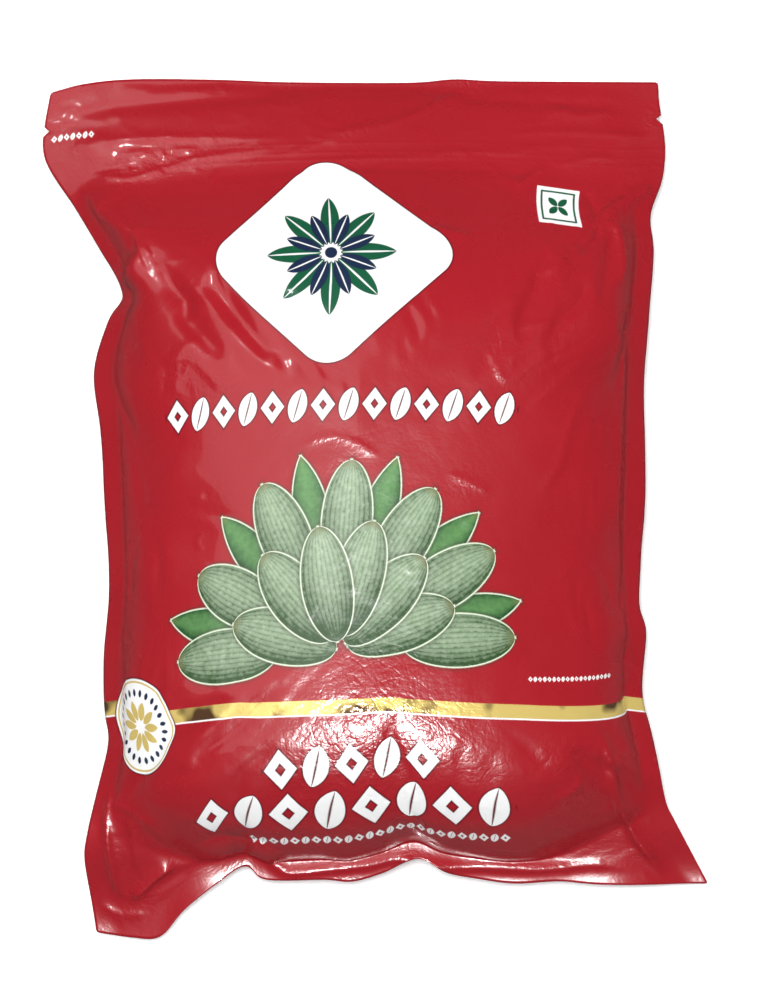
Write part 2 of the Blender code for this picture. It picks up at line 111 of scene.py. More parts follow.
outline = {                      # seen from above, in mm from the middle
    "left": (
        (-113.4, -170.8), (-117.0, -141.8), (-115.8, -129.8), (-111.8, -112.6), (-107.0, -92.6),
        (-108.6, -80.0), (-109.0, -55.8), (-106.6, -29.8), (-108.6, 0.2), (-110.2, 32.2),
        (-113.0, 56.2), (-107.0, 76.2), (-101.0, 87.0), (-110.6, 104.2), (-120.2, 120.2),
        (-131.0, 136.2), (-134.2, 145.2), (-133.6, 155.0), (-131.2, 168.2)),
    "right": (
        (134.2, -151.0), (119.8, -124.6), (115.4, -115.0), (109.8, -88.6), (106.2, -72.0),
        (107.8, -48.6), (104.8, -37.8), (105.8, -19.8), (107.4, 8.2), (107.0, 44.2),
        (107.8, 66.2), (111.0, 102.2), (109.8, 118.2), (114.6, 132.2), (116.2, 144.2),
        (115.4, 154.2), (113.8, 164.2), (113.4, 172.4)),
    "bottom": (
        (-113.4, -170.8), (-98.6, -172.8), (-87.4, -172.2), (-77.4, -160.8), (-64.2, -150.0),
        (-52.4, -142.6), (-45.0, -148.4), (-21.0, -148.4), (-9.8, -149.2), (3.0, -145.4),
        (16.6, -139.4), (27.8, -145.4), (41.4, -148.2), (55.8, -150.0), (73.4, -149.2),
        (91.8, -150.6), (134.2, -151.0)),
    "top": (
        (-131.2, 168.2), (-117.0, 171.8), (-97.8, 173.6), (-64.2, 173.4), (-35.4, 172.4),
        (12.6, 172.2), (31.8, 173.6), (51.0, 172.8), (113.4, 172.4)),
}


fine = np.linspace(0, 1, 401)    # shares at which an edge is worked out
curveSteps = 12


# a smooth curve through points, read at shares of its length
def through(points, shares):
    knots = np.array(points, float)
    knots = np.vstack([2 * knots[0] - knots[1], knots, 2 * knots[-1] - knots[-2]])
    steps = np.linspace(0, 1, curveSteps, endpoint=False)[:, None]
    spans = []
    for a, b, c, d in zip(knots, knots[1:], knots[2:], knots[3:]):
        spans.append(0.5 * (2 * b + (c - a) * steps + (2 * a - 5 * b + 4 * c - d) * steps ** 2
                            + (3 * b - a - 3 * c + d) * steps ** 3))
    line = np.vstack(spans + [knots[-2:-1]])
    run = np.concatenate([[0], np.cumsum(np.linalg.norm(np.diff(line, axis=0), axis=1))])
    return np.column_stack([np.interp(shares, run / run[-1], line[:, k]) for k in range(2)])


def ease(x):
    x = np.clip(x, 0, 1)
    return x * x * (3 - 2 * x)


# an edge as a straight run with a few slow waves, and the small bays that are left
def plainAndBays(points, waves):
    edge = through(points, fine)
    run = edge[0] + (edge[-1] - edge[0]) * fine[:, None]
    plain = run.copy()
    for wave in range(1, waves + 1):
        shape = np.sin(wave * math.pi * fine)[:, None]
        plain += 2 * shape * np.mean((edge - run) * shape, axis=0)
    return plain, edge - plain


def fullAlong(across, along):
    ear = ease((np.abs(across) - bag["earFrom"]) / (1 - bag["earFrom"]))
    unfilled = bag["bottomSeal"] + ear * np.where(across < 0, bag["leftEar"], bag["rightEar"])
    base = np.clip((along - unfilled / bag["length"]) / bag["baseLength"], 0, 1)
    power = bag["baseRound"] + ear * (bag["earRound"] - bag["baseRound"])
    base = (1 - (1 - base) ** bag["basePower"]) ** power
    shoulder = np.clip((bag["shoulderTop"] - along) / bag["shoulderLength"], 0, 1)
    return base * np.sin(shoulder * math.pi / 2) ** bag["shoulderPower"]


def fullAcross(across, power):
    return np.sqrt(1 - np.clip(np.abs(across), 0, 1) ** power)


def frontRise(across, along):
    return bag["rise"] * fullAlong(across, along) * fullAcross(across, bag["frontPower"])


def backSag(across, along):
    return bag["drop"] * fullAlong(across, along) ** bag["backFill"] * fullAcross(across, bag["backPower"])


def seamHeight(across, along):
    nearBase = 1 - ease(along / bag["baseReach"])
    nearZip = ease((along - 1 + bag["zipReach"]) / bag["zipReach"])
    ears = (bag["leftEarDrop"] * np.clip(-across, 0, 1) ** bag["earPower"]
            + bag["rightEarDrop"] * np.clip(across, 0, 1) ** bag["earPower"])
    sway = sum(share * np.sin(turns * along + lean * across) for turns, lean, share in bag["swayWaves"])
    sway = sway * np.abs(across) ** bag["swayPower"] * (1 - nearBase) * ease((1 - along) / bag["zipReach"])
    ripple = sum(share * np.sin(turns * across + shift) for turns, shift, share in bag["rippleWaves"])
    fadeFrom, fade = bag["rippleFade"]
    ripple = ripple * (1 - ease((along - fadeFrom) / fade))
    return (bag["seam"] - (bag["baseDrop"] + ears) * nearBase - bag["zipDrop"] * nearZip
            + bag["sway"] * sway + bag["ripple"] * ripple)


def evened(place, height, shares):
    run = np.concatenate([[0], np.cumsum(np.hypot(np.diff(place), np.diff(height)))])
    return np.interp(shares * run[-1], run, place)


# where the film's own points, as shares of its flat size, lie on the filled pouch
def filledPlaces(side, across, along):
    left, right = through(outline["left"], along), through(outline["right"], along)
    plain, bays = {}, {}
    for edge, points in outline.items():
        waves = bag["sideWaves"] if edge in ("left", "right") else bag["endWaves"]
        plain[edge], bays[edge] = plainAndBays(points, waves)

    def read(table, shares):
        return np.column_stack([np.interp(shares, fine, table[:, k]) for k in range(2)])

    seal = bag["sideSeal"] / bag["width"]
    inner = np.clip((across - seal) / (1 - 2 * seal), 0, 1)
    drawn = evened(fine * bag["seenLength"], frontRise(0, fine), along) / bag["seenLength"]
    bottom, top = plain["bottom"], plain["top"]
    places = np.zeros((len(along), len(across), 3))
    for row, share in enumerate(along):
        whole = np.linalg.norm(right[row] - left[row])
        wide = whole - 2 * bag["sideSeal"]
        flange = bag["sideSeal"] / whole
        inside = evened(fine * wide, frontRise(2 * fine - 1, drawn[row]), inner) / wide
        plan = flange + inside * (1 - 2 * flange)
        plan = np.where(across < seal, across / seal * flange, plan)
        plan = np.where(across > 1 - seal, 1 - (1 - across) / seal * flange, plan)
        w = np.clip(2 * inside - 1, -1, 1)
        l = share + (drawn[row] - share) * fullAcross(w, bag["frontPower"])
        u, v = plan[:, None], l[:, None]
        corners = ((1 - u) * (1 - v) * bottom[0] + u * (1 - v) * bottom[-1]
                   + (1 - u) * v * top[0] + u * v * top[-1])
        seen = ((1 - u) * read(plain["left"], l) + u * read(plain["right"], l)
                + (1 - v) * read(bottom, plan) + v * read(top, plan) - corners)
        seen += np.exp(-u / bag["sideBays"]) * read(bays["left"], l)
        seen += np.exp((u - 1) / bag["sideBays"]) * read(bays["right"], l)
        seen += np.exp(-v / bag["endBays"]) * read(bays["bottom"], plan)
        seen += np.exp((v - 1) / bag["endBays"]) * read(bays["top"], plan)
        places[row, :, :2] = seen
        belowZip = (1 - share) * bag["length"] - bag["zipFromTop"]
        fadeFrom, fade = bag["zipFade"]
        bulge = ease((belowZip + bag["zipHalf"]) / bag["zipRamp"]) * ease(1 - (belowZip - fadeFrom) / fade)
        fromEnd = bag["zipEnd"] - np.abs(across - 0.5) * bag["width"]
        bulge = bulge * ease(fromEnd / bag["zipEndRamp"])
        gap = bag["filmGap"] + (bag["zipGap"] - bag["filmGap"]) * bulge
        outward = np.maximum(np.abs(across - 0.5) - 0.5 + seal, 0) / seal
        fromEnds = ease(share / bag["flangeReach"]) * ease((1 - share) / bag["flangeReach"])
        seam = seamHeight(w, l) - bag["flangeDrop"] * outward * fromEnds
        if side > 0:
            places[row, :, 2] = seam + gap + frontRise(w, l)
        else:
            places[row, :, 2] = np.maximum(seam - gap - backSag(w, l), bag["filmThick"])
    return places


# The film is laid flat, then filled and let settle as cloth

filmCloth = {
    "grid": {1: (125, 175), -1: (80, 112)},
    "frames": {1: 36, -1: 24},
    "scale": 0.01,               # simulated 10 times life size
    "settings": {
        "quality": 6, "mass": 0.3, "tension_stiffness": 80, "compression_stiffness": 80,
        "shear_stiffness": 40, "bending_stiffness": 0.35, "tension_damping": 10, "compression_damping": 10,
        "shear_damping": 10, "bending_damping": 1, "air_damping": 2, "vertex_group_mass": "held",
        "use_pressure": True},
    "pressure": {1: 0.7, -1: 0.25},
    "heldTop": 2.5,              # mm of the header's edge that stays where it is
    "slack": 0.1, "floorSlack": 0.01,   # mm past the seals and over the floor that is still held
    "floor": 0.3,                # mm, what the back film rests on
    "apart": 0.25,               # mm, half the least distance between the two films
}


def deselectAll():
    bpy.ops.object.select_all(action="DESELECT")


def makeActive(piece):
    deselectAll()
    piece.select_set(True)
    bpy.context.view_layer.objects.active = piece


# one property of every item, as rows of so many values
def readAll(items, key, columns=3, kind=float):
    values = np.zeros(len(items) * columns, dtype=kind)
    items.foreach_get(key, values)
    return values.reshape(-1, columns)


def readPlaces(mesh):
    return readAll(mesh.vertices, "co")


def readCorners(mesh):
    return readAll(mesh.loops, "vertex_index", 1, int).ravel()


def writePlaces(mesh, places):
    mesh.vertices.foreach_set("co", np.ascontiguousarray(places).ravel())
    mesh.update()


# each point's shares across and along the flat film, from its texture coordinates
def filmShares(panel):
    mesh = panel.data
    shares = np.zeros((len(mesh.vertices), 2))
    shares[readCorners(mesh)] = readAll(mesh.uv_layers[0].data, "uv", 2)
    return shares


# each point's row and column in the film's grid, or in one so many times finer
def rowsAndColumns(panel, side, finer=1):
    cells = np.array(filmCloth["grid"][side]) * finer
    column, row = np.rint(filmShares(panel) * cells).astype(int).T
    return row, column


def asGrid(values, row, column):
    grid = np.zeros((row.max() + 1, column.max() + 1))
    grid[row, column] = values
    return grid


def layFilm(name, side):
    columns, rows = filmCloth["grid"][side]
    deselectAll()
    bpy.ops.mesh.primitive_grid_add(x_subdivisions=columns, y_subdivisions=rows, size=1, calc_uvs=True)
    panel = bpy.context.object
    panel.name = name
    panel.data.name = name
    places = filledPlaces(side, np.linspace(0, 1, columns + 1), np.linspace(0, 1, rows + 1))
    return panel, places[rowsAndColumns(panel, side)]


# cloth that remembers its flat size, held at its seals and pushed out by the pods
def settleFilm(panel, start, side):
    scale = filmCloth["scale"]
    shares = filmShares(panel)
    flat = np.column_stack([(shares - 0.5) * (bag["width"], bag["length"]), np.zeros(len(shares))])
    writePlaces(panel.data, start * scale)
    panel.shape_key_add(name="filled")
    flatKey = panel.shape_key_add(name="flat")
    flatKey.data.foreach_set("co", (flat * scale).ravel())
    flatKey.value = 0
    fromSide = bag["width"] / 2 - np.abs(flat[:, 0])
    fromBottom = shares[:, 1] * bag["length"]
    fromTop = bag["length"] - fromBottom
    slack = filmCloth["slack"]
    held = ((fromSide <= bag["sideSeal"] + slack) | (fromBottom <= bag["bottomSeal"] + slack)
            | (fromTop <= filmCloth["heldTop"]))
    if side < 0:
        held = held | (start[:, 2] <= filmCloth["floor"] + filmCloth["floorSlack"])
    group = panel.vertex_groups.new(name="held")
    group.add([int(i) for i in np.nonzero(held)[0]], 1.0, "REPLACE")
    cloth = panel.modifiers.new("film", "CLOTH")
    settings = cloth.settings
    for key, value in filmCloth["settings"].items():
        setattr(settings, key, value)
    settings.effector_weights.gravity = 0
    settings.uniform_pressure_force = filmCloth["pressure"][side] * side
    settings.rest_shape_key = flatKey
    cloth.collision_settings.use_collision = False
    frames = filmCloth["frames"][side]
    cloth.point_cache.frame_start = 1
    cloth.point_cache.frame_end = frames
    for step in range(1, frames + 1):
        bpy.context.scene.frame_set(step)
    makeActive(panel)
    bpy.ops.object.convert(target="MESH")
    bpy.context.scene.frame_set(1)
    places = readPlaces(panel.data) / scale
    if side < 0:
        places[:, 2] = np.maximum(places[:, 2], filmCloth["floor"])
    return places


# a grid of values read at shares across and along it
def readGrid(grid, across, along):
    rows, columns = np.array(grid.shape) - 1
    x, y = across * columns, along * rows
    i, j = np.minimum(x.astype(int), columns - 1), np.minimum(y.astype(int), rows - 1)
    x, y = x - i, y - j
    return ((1 - y) * ((1 - x) * grid[j, i] + x * grid[j, i + 1])
            + y * ((1 - x) * grid[j + 1, i] + x * grid[j + 1, i + 1]))


# keeps the two films a little apart where no pods lie between them
def keepApart(panels):
    heights, shares, grids = {}, {}, {}
    for side, panel in panels.items():
        heights[side] = readPlaces(panel.data)[:, 2] / mm
        shares[side] = filmShares(panel)
        grids[side] = asGrid(heights[side], *rowsAndColumns(panel, side))
    for side, panel in panels.items():
        other = readGrid(grids[-side], shares[side][:, 0], shares[side][:, 1])
        middle = (heights[side] + other) / 2
        places = readPlaces(panel.data)
        apart = np.maximum((heights[side] - middle) * side, filmCloth["apart"])
        places[:, 2] = (middle + apart * side) * mm
        writePlaces(panel.data, places)


# Creases as the photograph shows them: height in mm, how wide they are in mm on the left and
# on the right of their way, and their way in its pixels

frontCreases = {
    "left shoulder edge": (5.4, 8.0, 3.4, ((80, 182), (110, 216), (142, 246), (138, 270), (126, 306))),
    "left shoulder run": (0.35, 1.0, 2.0, ((141, 245), (161, 259), (175, 280), (202, 294))),
    "left crumple up": (0.30, 0.9, 2.4, ((162, 370), (176, 354), (195, 341), (210, 352))),
    "left crumple down": (0.30, 2.4, 0.9, ((164, 366), (188, 359), (214, 382), (222, 396))),
    "left crumple dip": (-0.25, 1.4, 1.4, ((150, 352), (166, 372), (160, 400))),
    "left streak": (0.35, 0.9, 1.3, ((296, 448), (324, 437), (350, 440), (384, 460))),
    "middle streak": (0.4, 0.9, 1.3, ((446, 473), (468, 481), (494, 494))),
    "header long": (0.35, 0.9, 2.2, ((282, 165), (340, 160), (400, 157), (500, 150), (588, 147))),
    "header rise": (0.7, 1.0, 3.0, ((310, 138), (350, 130), (400, 120), (452, 96), (480, 84))),
    "header left": (0.45, 0.8, 1.2, ((68, 150), (110, 140), (180, 137), (300, 139))),
    "header left low": (0.45, 0.8, 1.2, ((70, 170), (130, 178), (200, 158), (292, 146))),
    "header right": (0.8, 1.1, 2.0, ((540, 118), (563, 111), (580, 116), (616, 110))),
    "header far": (0.55, 0.8, 0.8, ((500, 134), (570, 132), (634, 136), (664, 132))),
    "diamond side": (0.9, 0.9, 2.0, ((430, 226), (452, 232), (474, 237))),
    "hub to edge": (1.7, 1.0, 3.0, ((597, 224), (613, 205), (634, 196), (656, 186))),
    "hub down": (1.5, 3.0, 1.0, ((599, 221), (616, 230), (622, 262), (618, 290))),
    "hub dip": (-1.4, 1.4, 1.4, ((600, 224), (594, 240), (578, 254))),
    "hub up": (-0.8, 1.4, 1.4, ((600, 220), (592, 204), (582, 188))),
    "hub foot": (0.9, 1.2, 2.0, ((600, 226), (584, 246), (566, 260), (538, 278))),
    "patch stroke": (0.8, 1.0, 1.6, ((512, 190), (530, 176), (548, 166))),
    "patch top": (0.7, 1.0, 1.6, ((556, 167), (584, 159), (616, 156))),
    "shoulder stroke": (0.8, 1.0, 1.4, ((622, 196), (636, 190), (652, 186))),
    "right facet low": (0.40, 3.2, 0.9, ((478, 338), (492, 358), (508, 381), (544, 358), (583, 336))),
    "right facet up": (0.25, 1.0, 2.6, ((508, 380), (514, 350), (518, 330))),
    "right facet top": (0.30, 1.0, 2.0, ((500, 330), (535, 324), (562, 321), (588, 316))),
    "right run a": (0.25, 0.9, 3.4, ((511, 381), (556, 362), (600, 343))),
    "right run b": (0.35, 1.0, 4.4, ((522, 414), (560, 380), (594, 346))),
    "right run c": (0.50, 1.3, 4.6, ((592, 380), (572, 420), (559, 465), (536, 500))),
    "right wall line": (1.1, 1.2, 1.2, ((619, 268), (615, 327), (622, 358), (619, 438), (616, 520),
                                        (623, 627), (628, 654), (618, 696), (604, 732))),
    "right corner": (3.0, 2.6, 1.2, ((600, 728), (608, 762), (614, 795), (632, 832), (651, 860), (664, 882))),
    "right corner side": (0.9, 1.2, 1.2, ((606, 756), (625, 766), (640, 782))),
    "right corner in": (-0.8, 2.2, 2.2, ((566, 750), (590, 762), (616, 772))),
    "right corner low": (0.7, 1.2, 2.2, ((552, 800), (574, 788), (580, 772))),
    "base edge": (1.8, 4.0, 1.4, ((160, 874), (198, 859), (221, 855), (255, 851), (278, 867), (290, 873),
                                  (335, 869), (370, 865), (400, 859), (428, 867), (484, 867), (540, 869),
                                  (604, 865), (660, 880))),
    "base dip": (-1.4, 2.0, 1.4, ((188, 846), (222, 838), (262, 842), (290, 856))),
    "left ear in": (2.1, 1.8, 0.9, ((110, 784), (107, 830), (109, 855), (117, 885), (130, 903))),
    "left ear out": (2.4, 2.2, 0.9, ((129, 902), (139, 894), (161, 873), (178, 866))),
    "left ear cross": (0.6, 1.6, 0.9, ((92, 812), (118, 806), (150, 826), (172, 850))),
    "left ear low": (0.6, 1.0, 1.8, ((98, 902), (122, 914), (150, 912))),
    "left ear middle": (0.8, 1.4, 0.8, ((129, 815), (133, 840), (137, 872))),
}

# Small creases strewn over a part of the film: two corners of it in pixels, how many, how long in
# mm, and their way in degrees with how much it varies
strewnCreases = {
    "header": ((58, 86), (654, 176), 60, (6, 26), (0, 12)),
    "header left": ((58, 136), (216, 182), 36, (3, 8), (0, 45)),
    "header middle": ((420, 84), (480, 112), 10, (3, 7), (40, 60)),
    "right shoulder": ((540, 160), (656, 290), 44, (3, 11), (60, 70)),
    "shoulders": ((110, 186), (640, 300), 36, (6, 20), (15, 60)),
    "middle": ((110, 300), (640, 640), 26, (5, 16), (90, 70)),
    "foot": ((110, 690), (640, 850), 40, (5, 16), (60, 80)),
    "left ear": ((88, 780), (200, 930), 22, (5, 14), (100, 60)),
    "right corner": ((560, 740), (690, 880), 22, (5, 14), (120, 50)),
}
strewn = {"seed": 11, "height": (0.06, 0.26), "width": (0.7, 1.1), "bend": 0.12, "crumple": 0.4}

# Where the film is crumpled small: how much, in mm how far, and the pixel in the middle
crumpled = (
    (1.0, 9, (66, 140)), (0.9, 9, (84, 168)), (0.9, 11, (118, 176)), (0.9, 10, (160, 165)),
    (0.7, 10, (200, 154)), (0.5, 9, (242, 146)), (0.9, 9, (440, 98)), (0.9, 8, (466, 88)),
    (0.7, 9, (560, 112)), (0.6, 8, (600, 112)), (0.8, 6, (650, 120)), (0.8, 9, (530, 178)),
    (0.7, 9, (590, 163)), (0.9, 10, (636, 182)), (1.0, 12, (604, 224)), (0.9, 10, (570, 262)),
    (0.7, 9, (550, 275)), (0.6, 12, (500, 345)), (0.5, 12, (560, 330)), (0.6, 8, (452, 232)),
    (0.7, 10, (180, 366)), (0.7, 8, (212, 384)), (0.6, 8, (190, 290)), (0.4, 14, (340, 445)),
    (0.5, 9, (470, 482)), (0.7, 24, (380, 690)), (0.95, 34, (372, 750)), (0.8, 26, (330, 790)),
    (0.7, 22, (440, 730)), (0.6, 16, (480, 780)), (0.9, 11, (560, 760)), (0.9, 12, (574, 795)),
    (0.8, 10, (618, 766)), (0.9, 9, (645, 846)), (0.6, 14, (600, 820)), (0.7, 9, (108, 800)),
    (0.8, 10, (112, 858)), (0.8, 9, (140, 892)), (0.7, 10, (196, 848)), (0.6, 12, (236, 842)),
    (0.7, 10, (400, 862)), (0.5, 10, (340, 869)), (0.6, 12, (114, 590)), (0.6, 12, (110, 470)),
    (0.6, 10, (622, 640)), (0.5, 12, (620, 460)),
)

film = {
    "crumpleRest": 0.10,         # how crumpled the rest of the film is
    "creaseCrumple": 0.5, "creaseReach": 3.0,
    "creaseSteps": 6, "creaseSpan": 5, "creaseEnd": 0.25, "creaseRound": 0.3,
    "filledFrom": {1: (30, 14), -1: (1, 8)},   # mm high where pods begin to fill it, and over how far
    "rayFrom": {1: 0.2, -1: -0.1},   # metres
    "slump": 4.0, "slumpAt": (390, 756), "slumpReach": (105, 42),   # mm, pixel, mm
    "clearance": 0.7,            # mm between the film and what it covers
    # a push spreads level over so many mesh cells, then falls by this slope in mm a cell, and is
    # evened out so often
    "spread": 4, "tent": 70, "slope": 0.05, "soften": 30,
    "hollow": (40, 15), "rounding": 110,   # mm from the top edge and how far, and how often evened out
}

lumps = {                        # pods that press through, stronger low in the bag
    "seed": 7, "count": 520, "length": 9.0, "width": 4.6, "height": 0.34, "sizes": (0.7, 1.15),
    "from": (-105, -145), "to": (105, 110), "span": 24,   # mm
    "low": (350, 745), "reach": 62.0, "rest": 0.35,
}


# each point's distance from a line of points, its place along it, and whether it is on its left
def alongLine(points, line):
    best = np.full(len(points), np.inf)
    place = np.zeros(len(points))
    onLeft = np.zeros(len(points), dtype=bool)
    run = np.concatenate([[0], np.cumsum(np.linalg.norm(np.diff(line, axis=0), axis=1))])
    for a, b, start, end in zip(line, line[1:], run, run[1:]):
        way = b - a
        t = np.clip((points - a) @ way / (way @ way), 0, 1)
        gap = points - a - t[:, None] * way
        distance = np.linalg.norm(gap, axis=1)
        nearer = distance < best
        best[nearer] = distance[nearer]
        place[nearer] = (start + t[nearer] * (end - start)) / run[-1]
        onLeft[nearer] = (way[0] * gap[:, 1] - way[1] * gap[:, 0])[nearer] > 0
    return best, place, onLeft


# every crease as its height, its widths, how much it crumples the film, and its points in mm
def allCreases():
    for height, leftWidth, rightWidth, pixels in frontCreases.values():
        yield height, leftWidth, rightWidth, 1, fromPhoto(pixels)
    draw = np.random.default_rng(strewn["seed"])
    for corner, opposite, count, lengths, (turn, spread) in strewnCreases.values():
        for _ in range(count):
            middle = fromPhoto([draw.uniform(corner, opposite)])[0]
            angle = math.radians(draw.normal(turn, spread))
            half = np.array([math.cos(angle), math.sin(angle)]) * draw.uniform(*lengths) / 2
            bend = np.array([-half[1], half[0]]) * draw.normal(0, 2 * strewn["bend"])
            width = draw.uniform(*strewn["width"])
            points = np.array([middle - half, middle + bend, middle + half])
            yield draw.uniform(*strewn["height"]), width, width, strewn["crumple"], points


# heights of the creases, and how near the sharp ones are from 0 to 1
def creaseHeights(seen):
    heights = np.zeros(len(seen))
    nearness = np.zeros(len(seen))
    for height, leftWidth, rightWidth, crumpling, points in allCreases():
        line = through(points, np.linspace(0, 1, film["creaseSteps"] * len(points)))
        reach = film["creaseSpan"] * max(leftWidth, rightWidth)
        inside = ((seen > line.min(axis=0) - reach) & (seen < line.max(axis=0) + reach)).all(axis=1)
        near = np.nonzero(inside)[0]
        distance, share, onLeft = alongLine(seen[near], line)
        width = np.where(onLeft, leftWidth, rightWidth)
        ends = ease(np.minimum(share, 1 - share) / film["creaseEnd"])
        crest = np.exp(film["creaseRound"] - np.sqrt((distance / width) ** 2 + film["creaseRound"] ** 2))
        heights[near] += height * ends * crest
        close = crumpling * ends * np.exp(-(distance / film["creaseReach"]) ** 2)
        nearness[near] = np.maximum(nearness[near], close)
    return heights, nearness


# the tops of single pods under the film, as low elongated bumps
def lumpHeights(seen, filled):
    draw = np.random.default_rng(lumps["seed"])
    low = fromPhoto([lumps["low"]])[0]
    heights = np.zeros(len(seen))
    for _ in range(lumps["count"]):
        middle = draw.uniform(lumps["from"], lumps["to"])
        turn = draw.uniform(0, math.pi)
        size = draw.uniform(*lumps["sizes"])
        way = np.array([math.cos(turn), math.sin(turn)])
        near = np.nonzero(np.abs(seen - middle).max(axis=1) < lumps["span"])[0]
        gap = seen[near] - middle
        run = (gap @ way) / (lumps["length"] * size)
        wide = (gap @ np.array([-way[1], way[0]])) / (lumps["width"] * size)
        heights[near] = np.maximum(heights[near], np.exp(-run ** 2 - wide ** 2) * size)
    fromLow = np.linalg.norm(seen - low, axis=1) / lumps["reach"]
    strength = lumps["rest"] + (1 - lumps["rest"]) * np.exp(-fromLow ** 2)
    return heights * lumps["height"] * strength * filled


# the outermost height of the pods and the zip under or over each place, or none
def innerHeights(places, side):
    found = np.full(len(places), np.nan)
    for node in ("cardamom_pods", "zip_rib_strip", "zip_groove_strip"):
        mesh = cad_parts[node].data
        corners = [tuple(face.vertices) for face in mesh.polygons]
        tree = BVHTree.FromPolygons([point.co for point in mesh.vertices], corners)
        for i, (x, y, _) in enumerate(places * mm):
            hit = tree.ray_cast(Vector((x, y, film["rayFrom"][side])), Vector((0, 0, -side)))[0]
            if hit is not None:
                found[i] = np.fmax(found[i] * side, hit.z / mm * side) * side
    return found


# a grid and its four neighbours on each side, as a stack
def around(grid):
    wide = np.pad(grid, 1, mode="edge")
    return np.stack([grid, wide[:-2, 1:-1], wide[2:, 1:-1], wide[1:-1, :-2], wide[1:-1, 2:]])


# pushes the film out wherever the pods or the zip would show through it
def coverInner(panel, places, side):
    row, column = rowsAndColumns(panel, side, 2)
    need = (innerHeights(places, side) - places[:, 2]) * side + film["clearance"]
    least = asGrid(np.nan_to_num(np.maximum(need, 0)), row, column)
    push = least.copy()
    for step in range(film["spread"] + film["tent"]):
        push = np.maximum(push, np.max(around(push), axis=0) - film["slope"] * (step >= film["spread"]))
    for _ in range(film["soften"]):
        push = np.mean(around(push), axis=0)
    places[:, 2] += np.maximum(push, least)[row, column] * side
    if side < 0:
        places[:, 2] = np.maximum(places[:, 2], filmCloth["floor"])
    print("film pushed out by", round(float(np.nanmax(need)), 2), "mm at most")
    return places


# rounds the hollow where the film comes down to the zip
def roundUnderZip(panel, places):
    row, column = rowsAndColumns(panel, 1, 2)
    heights = asGrid(places[:, 2], row, column)
    rows, columns = np.array(heights.shape) - 1
    fromTop = (1 - np.arange(rows + 1) / rows) * bag["length"]
    fromSide = np.minimum(np.arange(columns + 1), columns - np.arange(columns + 1)) / columns * bag["width"]
    low, reach = film["hollow"]
    share = np.exp(-((fromTop[:, None] - low) / reach) ** 2) * ease(fromSide / reach - 1)
    for _ in range(film["rounding"]):
        heights += share * (np.mean(around(heights), axis=0) - heights)
    places[:, 2] = heights[row, column]
    return places


# moves the film in and out along its normals, for its creases and the pods under it
def addRelief(panel, side):
    places = coverInner(panel, readPlaces(panel.data) / mm, side)
    if side > 0:
        places = roundUnderZip(panel, places)
    writePlaces(panel.data, places * mm)
    normals = readAll(panel.data.vertices, "normal")
    seen = asSeen(places)
    low, over = film["filledFrom"][side]
    filled = ease((places[:, 2] - low) / over)
    relief = lumpHeights(seen, filled)
    fromSlump = (seen - fromPhoto([film["slumpAt"]])[0]) / film["slumpReach"]
    places[:, 2] += film["slump"] * np.exp(-(fromSlump ** 2).sum(axis=1)) * filled * (side > 0)
    crumple = np.full(len(places), film["crumpleRest"])
    if side > 0:
        heights, nearness = creaseHeights(seen)
        relief += heights
        crumple = np.maximum(crumple, film["creaseCrumple"] * nearness)
        for amount, reach, pixel in crumpled:
            away = np.linalg.norm(seen - fromPhoto([pixel])[0], axis=1) / reach
            crumple = np.maximum(crumple, amount * np.exp(-away ** 2))
    outward = normals * np.sign(normals[:, 2:3]) * side
    places = coverInner(panel, places + outward * relief[:, None], side)
    writePlaces(panel.data, places * mm)
    panel.data.attributes.new("crumple", "FLOAT", "POINT").data.foreach_set("value", crumple)


# draws both edges in at the tear notches
def cutNotches(panel):
    shares = filmShares(panel)
    places = readPlaces(panel.data)
    fromTop = (1 - shares[:, 1]) * bag["length"]
    depth = np.clip(1 - np.abs(fromTop - bag["notchFromTop"]) / bag["notchHalf"], 0, 1) * bag["notchDepth"]
    for edge, way in ((0, 1), (1, -1)):
        fromEdge = np.abs(shares[:, 0] - edge) * bag["width"]
        places[:, 0] += way * depth * np.clip(1 - fromEdge / bag["notchReach"], 0, 1) * mm
    writePlaces(panel.data, places)


# gives each face the material of its part of the print
def dressFilm(panel, materials, parts):
    mesh = panel.data
    mesh.materials.clear()
    for material in materials:
        mesh.materials.append(material)
    middles = filmShares(panel)[readCorners(mesh)].reshape(-1, 4, 2).mean(axis=1)
    middles = middles * (bag["width"], bag["length"])
    worn = np.zeros(len(middles), dtype=np.int32)
    for number, boxes in enumerate(parts.values()):
        for left, low, right, high in boxes:
            worn[((middles > (left, low)) & (middles < (right, high))).all(axis=1)] = number
    mesh.polygons.foreach_set("material_index", worn)


def finishFilm(panel, side, node, materials, parts):
    if side < 0:
        panel.data.flip_normals()
    makeActive(panel)
    finer = panel.modifiers.new("finer", "SUBSURF")
    finer.levels = 1
    finer.render_levels = 1
    finer.uv_smooth = "NONE"
    bpy.ops.object.modifier_apply(modifier="finer")
    addRelief(panel, side)
    cutNotches(panel)
    edge = panel.modifiers.new("edge", "SOLIDIFY")
    edge.thickness = bag["filmThick"] * mm
    edge.offset = -1
    edge.use_rim_only = True
    bpy.ops.object.modifier_apply(modifier="edge")
    bpy.ops.object.shade_smooth()
    dressFilm(panel, materials, parts)
    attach(panel, "root")
    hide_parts(node)
    print(panel.name, "made,", len(panel.data.polygons), "faces")


# Shader helpers

# a sum or product of values, or of vectors, as a node
def step(operation, swapped=False):
    def make(*values):
        kind = vectors if values[0].socket.type == "VECTOR" else maths
        return kind(operation, *(values[::-1] if swapped else values))
    return make


